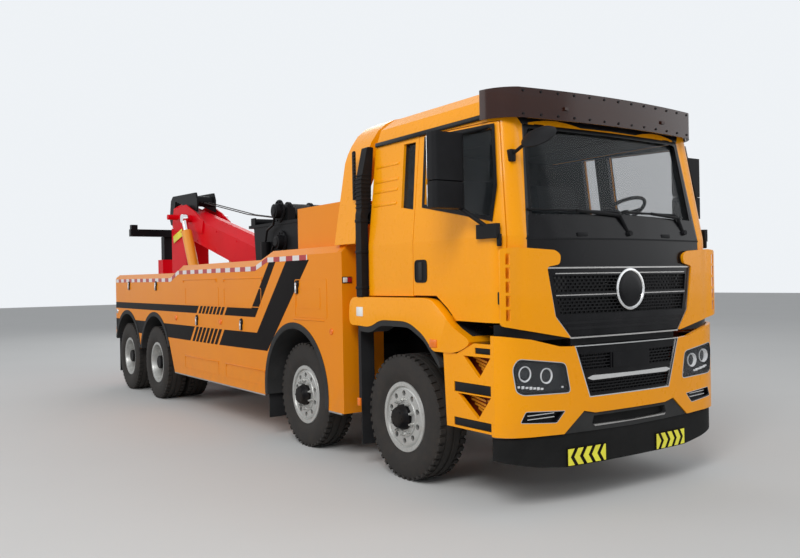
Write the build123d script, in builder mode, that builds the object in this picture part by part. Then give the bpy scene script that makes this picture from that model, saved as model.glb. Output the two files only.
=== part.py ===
from build123d import *
import os
from math import cos, radians, sin, tan

os.makedirs("parts", exist_ok=True)

# Driving dimensions in millimetres. x runs to the vehicle's left, y to its rear, z up.
# Stations along the vehicle are given from the first axle and turned into y by aft().
front_reach = 1668
rear_reach = 9620
first_axle = (front_reach - rear_reach) / 2
axle_stations = {1: 0, 2: 1800, 3: 6375, 4: 7775}

tyre_radius = 535
tyre_width = 300
front_track = 2036
rear_twin_centre = 930
twin_spacing = 350
kingpin_x = 870
kingpin_radius = 22
spindle_radius = 44
axle_tube_radius = 65

rail_outer = 430
rail_top = 1080
rail_height = 300
rail_thickness = 10
rail_flange = 80

body_half = 1270
fender_inner = 900
locker_inner = 820
deck_top = 1370
well_half = 480

cab_wall = 70
cab_rear = 440
tilt_station = -1330
tilt_height = 800

boom_pitch = 13.7
boom_pivot_station = 4900
boom_pivot_z = 1960
boom_half = 215
boom_depth = 383
boom_wall = 15
lift_foot_station = 6759
lift_foot_z = 1200
lift_eye_station = 7597
lift_eye_z = 2787
lift_x = 360
stinger_pivot_station = 9420
stinger_pivot_z = 1050


def aft(station):
    return first_axle + station


def side_points(points):
    """Station and height pairs as points on a plane whose local axes are Y and Z."""
    return [(aft(station), z) for station, z in points]


def side_plane(x):
    return Plane(origin=(x, 0, 0), x_dir=(0, 1, 0), z_dir=(1, 0, 0))


def front_plane(station):
    """Local x is X, local y is Z, and the normal points forward."""
    return Plane(origin=(0, aft(station), 0), x_dir=(1, 0, 0), z_dir=(0, -1, 0))


def wheel_plane(x, station, side):
    return Plane(origin=(x, aft(station), tyre_radius), x_dir=(side, 0, 0), z_dir=(0, 0, 1))


def save(part, label):
    part.label = label
    export_step(part, f"parts/{label}.step")
    box = part.bounding_box()
    print(f"{label:18s} x {box.min.X:7.0f} {box.max.X:7.0f}  y {box.min.Y - first_axle:7.0f} "
          f"{box.max.Y - first_axle:7.0f}  z {box.min.Z:6.0f} {box.max.Z:6.0f}")


# Wheels: offset from the tyre's centre plane and radius, outboard positive
tyre_outline = [(-120, 262), (-120, 300), (-150, 335), (-152, 430), (-140, 505), (-118, tyre_radius),
                (118, tyre_radius), (140, 505), (152, 430), (150, 335), (120, 300), (120, 262)]
front_disc = [(-60, 50), (-60, 200), (95, 200), (118, 222), (104, 250), (104, 264), (120, 262),
              (140, 232), (140, 135), (200, 118), (212, 60), (212, 0), (185, 0), (185, 50)]
twin_disc = [(-240, 75), (-240, 205), (-16, 205), (-16, 225), (-60, 258), (-60, 270), (60, 270), (60, 258),
             (16, 225), (16, 140), (230, 128), (285, 95), (285, 0), (110, 0), (110, 75)]

for axle in (1, 2):
    for name, side in (("left", 1), ("right", -1)):
        centre = side * front_track / 2
        plane = wheel_plane(centre, axle_stations[axle], side)
        with BuildPart() as wheel:
            with BuildSketch(plane):
                with BuildLine():
                    Polyline(*tyre_outline, close=True)
                make_face()
                with BuildLine():
                    Polyline(*front_disc, close=True)
                make_face()
            revolve(axis=Axis((centre, aft(axle_stations[axle]), tyre_radius), (1, 0, 0)))
        save(wheel.part, f"wheel_{axle}_{name}")

        with BuildPart() as knuckle:
            pin = Plane(origin=(side * kingpin_x, aft(axle_stations[axle]), tyre_radius))
            with BuildSketch(pin.offset(-115)):
                Circle(kingpin_radius)
            extrude(amount=230)
            with BuildSketch(pin.offset(60), pin.offset(-114)):
                Circle(50)
                with Locations((side * 52, 0)):
                    Rectangle(56, 96)
            extrude(amount=54)
            with BuildSketch(pin.offset(-114)):
                with Locations((side * 68, 0)):
                    Rectangle(24, 96)
            extrude(amount=228)
            with BuildSketch(Plane(origin=(side * (kingpin_x + 60), aft(axle_stations[axle]), tyre_radius),
                                   x_dir=(0, 1, 0), z_dir=(side, 0, 0))):
                Circle(spindle_radius)
            extrude(amount=260)
        save(knuckle.part, f"knuckle_{axle}_{name}")

for axle in (3, 4):
    for name, side in (("left", 1), ("right", -1)):
        centre = side * rear_twin_centre
        plane = wheel_plane(centre, axle_stations[axle], side)
        with BuildPart() as twin:
            with BuildSketch(plane):
                for shift in (-twin_spacing / 2, twin_spacing / 2):
                    with BuildLine():
                        Polyline(*[(u + shift, r) for u, r in tyre_outline], close=True)
                    make_face()
                with BuildLine():
                    Polyline(*twin_disc, close=True)
                make_face()
            revolve(axis=Axis((centre, aft(axle_stations[axle]), tyre_radius), (1, 0, 0)))
        save(twin.part, f"wheels_{axle}_{name}")

# Front axle beams, dropped between the kingpins, with their leaf springs
beam_half = [(0, 395), (640, 395), (740, 480), (kingpin_x, 480), (kingpin_x, 590), (720, 590), (610, 500), (0, 500)]
with BuildPart() as front_axles:
    for axle in (1, 2):
        with BuildSketch(front_plane(axle_stations[axle] + 45)):
            with BuildLine():
                Polyline(*beam_half, close=True)
            make_face()
            mirror(about=Plane.YZ)
        extrude(amount=90)
        with BuildSketch(Plane.XY.offset(480)):
            with Locations((kingpin_x, aft(axle_stations[axle])), (-kingpin_x, aft(axle_stations[axle]))):
                Circle(45)
        extrude(amount=110)
        with BuildSketch(Plane.XY.offset(470)):
            with Locations((kingpin_x, aft(axle_stations[axle])), (-kingpin_x, aft(axle_stations[axle]))):
                Circle(kingpin_radius + 1)
        extrude(amount=130, mode=Mode.SUBTRACT)
        with BuildSketch(side_plane(rail_outer - 45), side_plane(-rail_outer - 45)):
            with BuildLine():
                ends = side_points([(axle_stations[axle] - 760, 735), (axle_stations[axle], 500),
                                    (axle_stations[axle] + 760, 735)])
                ThreePointArc(*ends)
                Line(ends[2], (ends[2][0], 780))
                ThreePointArc((ends[2][0], 780), (aft(axle_stations[axle]), 590), (ends[0][0], 780))
                Line((ends[0][0], 780), ends[0])
            make_face()
        extrude(amount=90)
save(front_axles.part, "front_axles")

# Driven rear axles: tube, banjo and the shared bogie spring over both
with BuildPart() as rear_axles:
    for axle in (3, 4):
        with BuildSketch(Plane(origin=(-1020, aft(axle_stations[axle]), tyre_radius),
                               x_dir=(0, 1, 0), z_dir=(1, 0, 0))):
            Circle(axle_tube_radius)
        extrude(amount=2040)
        with BuildSketch(side_plane(-150)):
            with Locations((aft(axle_stations[axle]), tyre_radius)):
                Circle(235)
        extrude(amount=300)
        with BuildSketch(side_plane(rail_outer - 60), side_plane(-rail_outer - 40)):
            with Locations((aft(axle_stations[axle]), 600)):
                Rectangle(150, 90)
        extrude(amount=100)
    with BuildSketch(side_plane(rail_outer - 50), side_plane(-rail_outer - 50)):
        with BuildLine():
            low = side_points([(6375, 640), (7075, 700), (7775, 640)])
            ThreePointArc(*low)
            Line(low[2], (low[2][0], 690))
            ThreePointArc((low[2][0], 690), (low[1][0], 780), (low[0][0], 690))
            Line((low[0][0], 690), low[0])
        make_face()
    extrude(amount=100)
save(rear_axles.part, "rear_axles")

# Ladder frame: two channels, tube crossmembers and the subframe beams under the deck
rail_start = -1240
rail_end = 8150
with BuildPart() as chassis_frame:
    with BuildSketch(Plane(origin=(0, aft(rail_end), 0), x_dir=(1, 0, 0), z_dir=(0, -1, 0))):
        for side in (1, -1):
            with Locations((side * (rail_outer - rail_flange / 2), rail_top - rail_height / 2)):
                Rectangle(rail_flange, rail_height)
            with Locations((side * (rail_outer - rail_thickness - rail_flange / 2), rail_top - rail_height / 2)):
                Rectangle(rail_flange, rail_height - 2 * rail_thickness, mode=Mode.SUBTRACT)
    extrude(amount=rail_end - rail_start)
    for station in (-1180, 700, 2700, 3900, 5200, 6300, 7075):
        with BuildSketch(side_plane(-rail_outer + rail_thickness / 2)):
            with Locations((aft(station), 930)):
                Rectangle(90, 200)
        extrude(amount=2 * rail_outer - rail_thickness)
    with BuildSketch(Plane.XY.offset(rail_top)):
        for side in (1, -1):
            with Locations((side * 395, aft(3500))):
                Rectangle(70, 5600)
    extrude(amount=deck_top - 40 - rail_top)
    for station in (1000, 2700, 4200, 5300, 7075, 8080):
        for side in (1, -1):
            with BuildSketch(Plane.XY.offset(rail_top)):
                with Locations((side * (400 + locker_inner) / 2, aft(station))):
                    Rectangle(locker_inner - 400, 90)
            extrude(amount=100)
    with BuildSketch(Plane.XY.offset(560)):
        with Locations((0, aft(-1325))):
            Rectangle(2000, 70)
        with Locations((390, aft(-1245)), (-390, aft(-1245))):
            Rectangle(80, 90)
    extrude(amount=100)
    with BuildSketch(Plane.XY.offset(560)):
        with Locations((390, aft(-1220)), (-390, aft(-1220))):
            Rectangle(80, 60)
    extrude(amount=rail_top - 560)
    # station, underside and top of each fender arm
    for station, low, high in ((-700, 1160, 1220), (660, 1340, 1400)):
        for side in (1, -1):
            with BuildSketch(Plane.XY.offset(rail_top)):
                with Locations((side * 410, aft(station))):
                    Rectangle(40, 60)
            extrude(amount=high - rail_top)
            with BuildSketch(Plane.XY.offset(low)):
                with Locations((side * (390 + fender_inner) / 2, aft(station))):
                    Rectangle(fender_inner - 390, 60)
            extrude(amount=high - low)
save(chassis_frame.part, "chassis_frame")

with BuildPart() as engine_block:
    with BuildSketch(Plane.XY.offset(640)):
        with Locations((0, aft(-220))):
            Rectangle(600, 1240)
    extrude(amount=590)
    chamfer(engine_block.edges().filter_by(Axis.Y).group_by(Axis.Z)[-1], 90)
    with BuildSketch(Plane.XY.offset(880)):
        with Locations((0, aft(-650)), (0, aft(150))):
            Rectangle(2 * (rail_outer - rail_thickness), 90)
    extrude(amount=60)
save(engine_block.part, "engine_block")

# Fixed body: side lockers with the wheel arches cut through them
arch_radius = 750
locker_outline = [(800, 470), (5492, 470), (5735, 915), (5745, 1290), (8430, 1290), (8430, 1860),
                  (5588, 1850), (5270, 1950), (2715, 1952), (2397, 2040), (800, 2040)]
for name, side in (("left", 1), ("right", -1)):
    with BuildPart() as body_side:
        with BuildSketch(side_plane(locker_inner if side > 0 else -body_half)):
            with BuildLine():
                Polyline(*side_points(locker_outline), close=True)
            make_face()
            with BuildLine():
                Polyline(*side_points([(6400, 790), (8430, 890), (8430, 1300), (6400, 1300)]), close=True)
            make_face()
            for axle in (2, 3, 4):
                with Locations((aft(axle_stations[axle]), tyre_radius)):
                    Circle(arch_radius, mode=Mode.SUBTRACT)
        extrude(amount=body_half - locker_inner)
        upper_outer = body_side.edges().filter_by(lambda e: abs(e.center().X) > body_half - 1).filter_by(
            lambda e: e.center().Z > 1840 and e.length > 300)
        chamfer(upper_outer, 70)
    save(body_side.part, f"body_side_{name}")

# Black liners inside the fixed body's arches, the strips behind the front wheels and the rear flaps
with BuildPart() as mudguards:
    for x in (locker_inner + 30, -body_half + 5):
        with BuildSketch(side_plane(x)):
            for axle in (2, 3, 4):
                with Locations((aft(axle_stations[axle]), tyre_radius)):
                    Circle(arch_radius)
            for axle in (2, 3, 4):
                with Locations((aft(axle_stations[axle]), tyre_radius)):
                    Circle(arch_radius - 62, mode=Mode.SUBTRACT)
            with Locations((aft(1800), 0)):
                Rectangle(1600, 1160, mode=Mode.SUBTRACT)
            with Locations((aft(7075), 150)):
                Rectangle(3400, 1500, mode=Mode.SUBTRACT)
            with Locations((aft(8600), 1000)):
                Rectangle(340, 800, mode=Mode.SUBTRACT)
        extrude(amount=body_half - locker_inner - 35)
    for side in (1, -1):
        with BuildSketch(Plane.XY.offset(215)):
            with Locations((side * 1130, aft(597))):
                Rectangle(140, 8)
        extrude(amount=1060)
        with BuildSketch(Plane.XY.offset(570)):
            with Locations((side * 1180, aft(620))):
                Rectangle(40, 38)
        extrude(amount=730)
        with BuildSketch(Plane.XY.offset(250)):
            with Locations((side * 930, aft(8350))):
                Rectangle(620, 10)
        extrude(amount=680)
save(mudguards.part, "mudguards")

with BuildPart() as deck:
    with BuildSketch(Plane.XY.offset(deck_top - 40)):
        with Locations((0, aft(4590))):
            Rectangle(2 * locker_inner, 7580)
        with Locations((0, aft(7500))):
            Rectangle(2 * well_half, 2200, mode=Mode.SUBTRACT)
    extrude(amount=40)
save(deck.part, "deck")

# Rear panel each side of the well, its underrun bar and the stub brackets that hold the lift cylinders
with BuildPart() as tail_panel:
    for side in (1, -1):
        with BuildSketch(Plane.XY.offset(760)):
            with Locations((side * (well_half + locker_inner) / 2, aft(8405))):
                Rectangle(locker_inner - well_half, 50)
        extrude(amount=1090)
        with BuildSketch(Plane.XY.offset(860)):
            with Locations((side * 1020, aft(8455))):
                Rectangle(480, 50)
        extrude(amount=130)
    with BuildSketch(Plane.XY.offset(620)):
        with Locations((0, aft(8415))):
            Rectangle(2350, 100)
    extrude(amount=140)
save(tail_panel.part, "tail_panel")

lift_pin_radius = 35
with BuildPart() as boom_stand:
    for x in (-275, 245):
        with BuildSketch(side_plane(x)):
            with BuildLine():
                Polyline(*side_points([(4520, deck_top), (5300, deck_top), (5080, 1960), (4990, 2070),
                                       (4810, 2070), (4740, 1960)]), close=True)
            make_face()
        extrude(amount=30)
    with BuildSketch(side_plane(-290)):
        with Locations((aft(boom_pivot_station), boom_pivot_z)):
            Circle(40)
    extrude(amount=580)
    for side in (1, -1):
        with BuildSketch(Plane.XY.offset(rail_top)):
            with Locations((side * 420, aft(lift_foot_station))):
                Rectangle(20, 220)
            with Locations((side * 300, aft(lift_foot_station))):
                Rectangle(20, 220)
        extrude(amount=165)
        with BuildSketch(Plane.XY.offset(rail_top)):
            with Locations((side * 360, aft(lift_foot_station))):
                Rectangle(150, 240)
        extrude(amount=16)
        with BuildSketch(side_plane(side * 360 - 75)):
            with Locations((aft(lift_foot_station), lift_foot_z)):
                Circle(lift_pin_radius)
        extrude(amount=150)
save(boom_stand.part, "boom_stand")

# Two winches, one above the other on a black stand
with BuildPart() as winches:
    for x in (-430, 400):
        with BuildSketch(side_plane(x)):
            with BuildLine():
                Polyline(*side_points([(3000, deck_top), (4500, deck_top), (4620, 2440), (3250, 2440)]), close=True)
            make_face()
        extrude(amount=30)
    with BuildSketch(Plane.XY.offset(2440)):
        with Locations((0, aft(4010))):
            Rectangle(880, 1520)
    extrude(amount=40)
    # station, height, drum radius, flange radius
    for station, z, drum, flange in ((3750, 2210, 110, 170), (3800, 2610, 95, 125)):
        with BuildSketch(side_plane(-400)):
            with Locations((aft(station), z)):
                Circle(drum)
        extrude(amount=800)
        with BuildSketch(side_plane(-330), side_plane(-20), side_plane(300)):
            with Locations((aft(station), z)):
                Circle(flange)
        extrude(amount=30)
    for x in (-400, 300):
        with BuildSketch(side_plane(x)):
            with Locations((aft(3800), 2560)):
                Rectangle(330, 180)
        extrude(amount=100)
    with BuildSketch(side_plane(-420)):
        with Locations((aft(4660), 2530)):
            Circle(45)
    extrude(amount=840)
    for x in (-425, 405):
        with BuildSketch(side_plane(x)):
            with Locations((aft(4660), 2520)):
                Rectangle(130, 120)
        extrude(amount=20)
save(winches.part, "winches")

with BuildPart() as front_box:
    with BuildSketch(Plane.XY.offset(deck_top)):
        with Locations((0, aft(1450))):
            Rectangle(2 * locker_inner, 1100)
    extrude(amount=670)
    with BuildSketch(Plane.XY.offset(2040)):
        with Locations((0, aft(1450))):
            Rectangle(2200, 1100)
    extrude(amount=430)
save(front_box.part, "front_box")

# Portal behind the cab that carries the air over the body
portal_half = 1255
with BuildPart() as cab_fairing:
    with BuildSketch(front_plane(900)):
        with BuildLine():
            Polyline((-portal_half, 2040), (-portal_half, 2850), (-1130, 3100), (-880, 3215), (880, 3215),
                     (1130, 3100), (portal_half, 2850), (portal_half, 2040), (1080, 2040), (1080, 2820),
                     (1000, 2990), (840, 3060), (-840, 3060), (-1000, 2990), (-1080, 2820), (-1080, 2040),
                     close=True)
        make_face()
    extrude(amount=320)
save(cab_fairing.part, "cab_fairing")

with BuildPart() as air_intake:
    with BuildSketch(Plane.XY.offset(1556)):
        with Locations((-1010, aft(520))):
            Rectangle(200, 96)
    extrude(amount=444)
    with BuildSketch(Plane.XY.offset(2000)):
        with Locations((-1040, aft(520))):
            Rectangle(260, 106)
    extrude(amount=620)
    chamfer(air_intake.edges().filter_by(Axis.Y).group_by(Axis.Z)[-1], 40)
save(air_intake.part, "air_intake")

# Front fenders over the first axle
fender_outline = [(720, 1556), (-440, 1556), (-548, 1550), (-690, 1448), (-810, 1340), (-1063, 1231), (-857, 1137),
                  (-564, 1137), (-439, 1260), (-226, 1361), (201, 1361), (371, 1290), (560, 1300),
                  (720, 1300)]
with BuildPart() as front_fenders:
    for x in (fender_inner, -1245):
        with BuildSketch(side_plane(x)):
            with BuildLine():
                Polyline(*side_points(fender_outline), close=True)
            make_face()
        extrude(amount=345)
save(front_fenders.part, "front_fenders")

with BuildPart() as cab_steps:
    for side in (1, -1):
        with BuildSketch(side_plane(side * 1130 - 105)):
            with BuildLine():
                Polyline(*side_points([(-615, 1137), (-830, 1137), (-830, 580), (-720, 580)]), close=True)
            make_face()
        extrude(amount=210)
        with BuildSketch(side_plane(side * 1040 - 15)):
            with BuildLine():
                Polyline(*side_points([(-830, 1130), (-1285, 1200), (-1285, 580), (-830, 580)]), close=True)
            make_face()
        extrude(amount=30)
        for z, rear_end in ((1170, -1035), (915, -830), (580, -830)):
            with BuildSketch(Plane.XY.offset(z)):
                with Locations((side * 1130, aft((rear_end - 1285) / 2))):
                    Rectangle(210, rear_end + 1285)
            extrude(amount=30)
save(cab_steps.part, "cab_steps")

# Bumper: a bowed band of this plan, cut to the face's outline, with the lamp and grille openings
bumper_corner = 1000
lamp_outline = [(675, 822), (690, 1064), (1140, 1122), (1245, 1075), (1245, 880), (1100, 866)]
with BuildPart() as bumper:
    with BuildSketch(Plane.XY.offset(545)):
        with BuildLine():
            front = ThreePointArc((-bumper_corner, aft(-1430)), (0, aft(-1493)), (bumper_corner, aft(-1430)))
            ThreePointArc((bumper_corner, aft(-1430)), (1170, aft(-1378)), (1238, aft(-1290)))
            Line((1238, aft(-1290)), (1180, aft(-1290)))
            ThreePointArc((1180, aft(-1290)), (1130, aft(-1330)), (bumper_corner - 20, aft(-1360)))
            ThreePointArc((bumper_corner - 20, aft(-1360)), (0, aft(-1420)), (-bumper_corner + 20, aft(-1360)))
            ThreePointArc((-bumper_corner + 20, aft(-1360)), (-1130, aft(-1330)), (-1180, aft(-1290)))
            Line((-1180, aft(-1290)), (-1238, aft(-1290)))
            ThreePointArc((-1238, aft(-1290)), (-1170, aft(-1378)), (-bumper_corner, aft(-1430)))
        make_face()
    extrude(amount=745)
    with BuildSketch(front_plane(-1200)):
        with BuildLine():
            Polyline((0, 680), (407, 680), (519, 703), (715, 550), (1150, 550), (1240, 600), (1240, 1290),
                     (1211, 1288), (1000, 1258), (740, 1195), (600, 1188), (585, 1160), (459, 803), (0, 803),
                     close=True)
        make_face()
        mirror(about=Plane.YZ)
        with BuildLine():
            Polyline(*lamp_outline, close=True)
        lamp_face = make_face(mode=Mode.SUBTRACT)
        mirror(lamp_face, about=Plane.YZ, mode=Mode.SUBTRACT)
    extrude(amount=400, mode=Mode.INTERSECT)
    with BuildSketch(Plane.XY.offset(660)):
        with Locations((640, aft(-1350)), (-640, aft(-1350))):
            Rectangle(140, 100)
    extrude(amount=100)
save(bumper.part, "bumper")

with BuildPart() as headlamps:
    with BuildSketch(Plane.XY.offset(800)):
        with BuildLine():
            ThreePointArc((640, aft(-1472)), (840, aft(-1446)), (bumper_corner, aft(-1424)))
            ThreePointArc((bumper_corner, aft(-1424)), (1168, aft(-1372)), (1232, aft(-1295)))
            Line((1232, aft(-1295)), (1110, aft(-1295)))
            Line((1110, aft(-1295)), (640, aft(-1330)))
            Line((640, aft(-1330)), (640, aft(-1472)))
        make_face()
        mirror(about=Plane.YZ)
    extrude(amount=400)
    with BuildSketch(front_plane(-1200)):
        with BuildLine():
            Polyline(*lamp_outline, close=True)
        make_face()
        mirror(about=Plane.YZ)
    extrude(amount=400, mode=Mode.INTERSECT)
save(headlamps.part, "headlamps")

# Lower grille: a frame with slats in the bumper's opening, and the black lip under it
with BuildPart() as lower_grille:
    with BuildSketch(front_plane(-1425)):
        with BuildLine():
            Polyline((0, 803), (459, 803), (585, 1160), (600, 1188), (0, 1188), close=True)
        make_face()
        mirror(about=Plane.YZ)
        with GridLocations(150, 58, 6, 5):
            with Locations((0, 985)):
                Rectangle(130, 40, mode=Mode.SUBTRACT)
    extrude(amount=50)
save(lower_grille.part, "lower_grille")

with BuildPart() as front_apron:
    with BuildSketch(front_plane(-1360)):
        with BuildLine():
            Polyline((0, 676), (405, 676), (517, 698), (712, 546), (1120, 546), (1120, 330), (1060, 300),
                     (0, 300), close=True)
        make_face()
        mirror(about=Plane.YZ)
    extrude(amount=70)
    with BuildSketch(front_plane(-1430)):
        for x in (-487, 487):
            with Locations((x, 370)):
                Rectangle(392, 136)
    extrude(amount=6)
save(front_apron.part, "front_apron")

# Cab sections from floor to roof, as half-widths and stations:
# height, side, side's front end, front's half-width, front's end, nose, rear
cab_sections = [
    (1245, 1195, -1215, 990, -1400, -1462, cab_rear),
    (2010, 1195, -1205, 985, -1388, -1450, cab_rear),
    (2900, 1105, -1085, 930, -1245, -1300, cab_rear - 10),
    (3050, 1060, -1010, 880, -1160, -1210, cab_rear - 30),
    (3140, 960, -850, 800, -1000, -1050, cab_rear - 100),
    (3185, 800, -650, 650, -800, -850, cab_rear - 280),
]
cab_floor = [(-1520, 1245), (-1400, 1245), (-1350, 1380), (-800, 1380), (-700, 1475), (-560, 1568), (460, 1568),
             (460, 3300), (-1520, 3300)]
cab_cavity_side = [(-1340, 1450), (-790, 1450), (-560, 1640), (460, 1640), (460, 3300), (-1520, 3300),
                   (-1520, 1790), (-1340, 1790)]


def cab_form(inset, side_outline):
    """The cab's outer form drawn in by inset, cut below to the side outline."""
    with BuildPart() as form:
        for z, side, side_front, front_half, front_end, nose, rear in cab_sections:
            top = z - (inset if z > 3000 else 0)
            w, f = side - inset, front_half - inset / 2
            y_side, y_front = aft(side_front + inset / 2), aft(front_end + inset)
            y_nose, y_rear = aft(nose + inset), aft(rear - inset)
            bulge_x, bulge_y = (w + f) / 2 + 40, (y_side + y_front) / 2 - 48
            with BuildSketch(Plane.XY.offset(top)):
                with BuildLine():
                    ThreePointArc((-f, y_front), (0, y_nose), (f, y_front))
                    ThreePointArc((f, y_front), (bulge_x, bulge_y), (w, y_side))
                    Polyline((w, y_side), (w, y_rear), (-w, y_rear), (-w, y_side))
                    ThreePointArc((-w, y_side), (-bulge_x, bulge_y), (-f, y_front))
                make_face()
        loft(ruled=True)
        with BuildSketch(side_plane(-1300)):
            with BuildLine():
                Polyline(*side_points(side_outline), close=True)
            make_face()
        extrude(amount=2600, mode=Mode.INTERSECT)
    return form.part


cab_outer = cab_form(0, cab_floor)
cab_cavity = cab_form(cab_wall, cab_cavity_side)
door_gap = 7
door_inner = cab_form(cab_wall, cab_floor)
jamb_inner = cab_form(cab_wall + door_gap, cab_floor)
glass_outer = cab_form(28, cab_floor)
glass_inner = cab_form(34, cab_floor)

roof_line = 2905
door_outline = [(-1335, 1378), (-1335, 2005), (-1205, 2860), (-250, 2888), (-250, 1574), (-560, 1574),
                (-700, 1480), (-810, 1384)]
door_window = [(-345, 2850), (-372, 2313), (-1215, 2150), (-1240, 2380), (-1172, 2820)]
rear_window = [(-20, 2860), (-195, 2855), (-220, 2285), (-40, 2315)]
screen_outline = [(0, 2030), (955, 2030), (885, 2850), (0, 2850)]
grille_outline = [(0, 1240), (625, 1240), (770, 1412), (838, 1782), (0, 1782)]
panel_outline = [(0, 1785), (1000, 1785), (985, 2012), (0, 2012)]
corner_relief = [(600, 1200), (630, 1245), (1200, 1375), (1300, 1375), (1300, 1200)]
# How far in from the side the doors reach: half-width and height
door_reach = [(1100, 1300), (1100, 2010), (1010, 2905), (1300, 2905), (1300, 1300)]
panel_back = -1345
grille_back = -1392

for name, side in (("left", 1), ("right", -1)):
    for label, outer, inner, outline in (
            ("door", cab_outer, door_inner, door_outline),
            ("door_glass", glass_outer, glass_inner, door_window)):
        with BuildPart() as panel:
            add(outer)
            add(inner, mode=Mode.SUBTRACT)
            with BuildSketch(side_plane(side * 1170 - 200)):
                with BuildLine():
                    Polyline(*side_points(outline), close=True)
                make_face()
            extrude(amount=400, mode=Mode.INTERSECT)
            if label == "door":
                with BuildSketch(side_plane(side * 1170 - 200)):
                    with BuildLine():
                        Polyline(*side_points(door_window), close=True)
                    make_face()
                extrude(amount=400, mode=Mode.SUBTRACT)
                with BuildSketch(front_plane(0)):
                    with BuildLine():
                        Polyline(*[(side * x, z) for x, z in door_reach], close=True)
                    make_face()
                extrude(amount=1500, mode=Mode.INTERSECT)
        save(panel.part, f"{label}_{name}")

with BuildPart() as door_opening:
    add(cab_outer)
    add(jamb_inner, mode=Mode.SUBTRACT)
    with BuildSketch(side_plane(970 - door_gap), side_plane(-1300)):
        with BuildLine():
            Polyline(*side_points(door_outline), close=True)
        make_face()
        offset(amount=door_gap, kind=Kind.INTERSECTION)
    extrude(amount=330 + door_gap, mode=Mode.INTERSECT)
    with BuildSketch(front_plane(0)):
        for side in (1, -1):
            with BuildLine():
                Polyline(*[(side * (x - door_gap), z) for x, z in door_reach], close=True)
            make_face()
    extrude(amount=1500, mode=Mode.INTERSECT)

with BuildPart() as cab_shell:
    add(cab_outer)
    add(cab_cavity, mode=Mode.SUBTRACT)
    add(door_opening.part, mode=Mode.SUBTRACT)
    with BuildSketch(side_plane(1000), side_plane(-1300)):
        with BuildLine():
            Polyline(*side_points(rear_window), close=True)
        make_face()
    extrude(amount=300, mode=Mode.SUBTRACT)
    for outline, station in ((screen_outline, -1100), (panel_outline, panel_back), (grille_outline, grille_back),
                             (corner_relief, -1330)):
        with BuildSketch(front_plane(station)):
            with BuildLine():
                Polyline(*outline, close=True)
            make_face()
            mirror(about=Plane.YZ)
        extrude(amount=420, mode=Mode.SUBTRACT)
    with BuildSketch(Plane.XY.offset(roof_line)):
        with Locations((0, aft(-500))):
            Rectangle(2600, 2200)
    extrude(amount=500, mode=Mode.SUBTRACT)
save(cab_shell.part, "cab_shell")

with BuildPart() as cab_roof:
    add(cab_outer)
    add(cab_cavity, mode=Mode.SUBTRACT)
    with BuildSketch(Plane.XY.offset(roof_line)):
        with Locations((0, aft(-500))):
            Rectangle(2600, 2200)
    extrude(amount=500, mode=Mode.INTERSECT)
save(cab_roof.part, "cab_roof")

with BuildPart() as front_panel:
    add(cab_outer)
    add(cab_cavity, mode=Mode.SUBTRACT)
    with BuildSketch(front_plane(panel_back)):
        with BuildLine():
            Polyline(*panel_outline, close=True)
        make_face()
        mirror(about=Plane.YZ)
    extrude(amount=420, mode=Mode.INTERSECT)
save(front_panel.part, "front_panel")

with BuildPart() as upper_grille:
    add(cab_outer)
    with BuildSketch(front_plane(grille_back)):
        with BuildLine():
            Polyline(*grille_outline, close=True)
        make_face()
        mirror(about=Plane.YZ)
    extrude(amount=120, mode=Mode.INTERSECT)
    with BuildSketch(front_plane(grille_back)):
        with GridLocations(170, 62, 8, 5):
            with Locations((0, 1600)):
                Rectangle(150, 42)
    extrude(amount=120, mode=Mode.SUBTRACT)
save(upper_grille.part, "upper_grille")

with BuildPart() as cab_glass:
    add(glass_outer)
    add(glass_inner, mode=Mode.SUBTRACT)
    with BuildSketch(front_plane(-1100)):
        with BuildLine():
            Polyline(*screen_outline, close=True)
        make_face()
        mirror(about=Plane.YZ)
    screen_zone = extrude(amount=420, mode=Mode.PRIVATE)
    with BuildSketch(side_plane(-1300)):
        with BuildLine():
            Polyline(*side_points(rear_window), close=True)
        make_face()
    side_zone = extrude(amount=2600, mode=Mode.PRIVATE)
    add(screen_zone + side_zone, mode=Mode.INTERSECT)
save(cab_glass.part, "cab_glass")

# Tinted visor that wraps the front of the roof, on two brackets
with BuildPart() as sun_visor:
    with BuildSketch(Plane.XY.offset(2882)):
        with BuildLine():
            ThreePointArc((-983, aft(-1325)), (0, aft(-1402)), (983, aft(-1325)))
            ThreePointArc((983, aft(-1325)), (1098, aft(-1225)), (1150, aft(-1075)))
            Line((1150, aft(-1075)), (1136, aft(-1075)))
            ThreePointArc((1136, aft(-1075)), (1086, aft(-1215)), (976, aft(-1311)))
            ThreePointArc((976, aft(-1311)), (0, aft(-1388)), (-976, aft(-1311)))
            ThreePointArc((-976, aft(-1311)), (-1086, aft(-1215)), (-1136, aft(-1075)))
            Line((-1136, aft(-1075)), (-1150, aft(-1075)))
            ThreePointArc((-1150, aft(-1075)), (-1098, aft(-1225)), (-983, aft(-1325)))
        make_face()
    extrude(amount=222)
    with BuildSketch(Plane.XY.offset(2960)):
        for x in (-560, 560):
            with Locations((x, aft(-1302))):
                Rectangle(40, 180)
    extrude(amount=24)
    add(cab_outer, mode=Mode.SUBTRACT)
save(sun_visor.part, "sun_visor")

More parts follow.
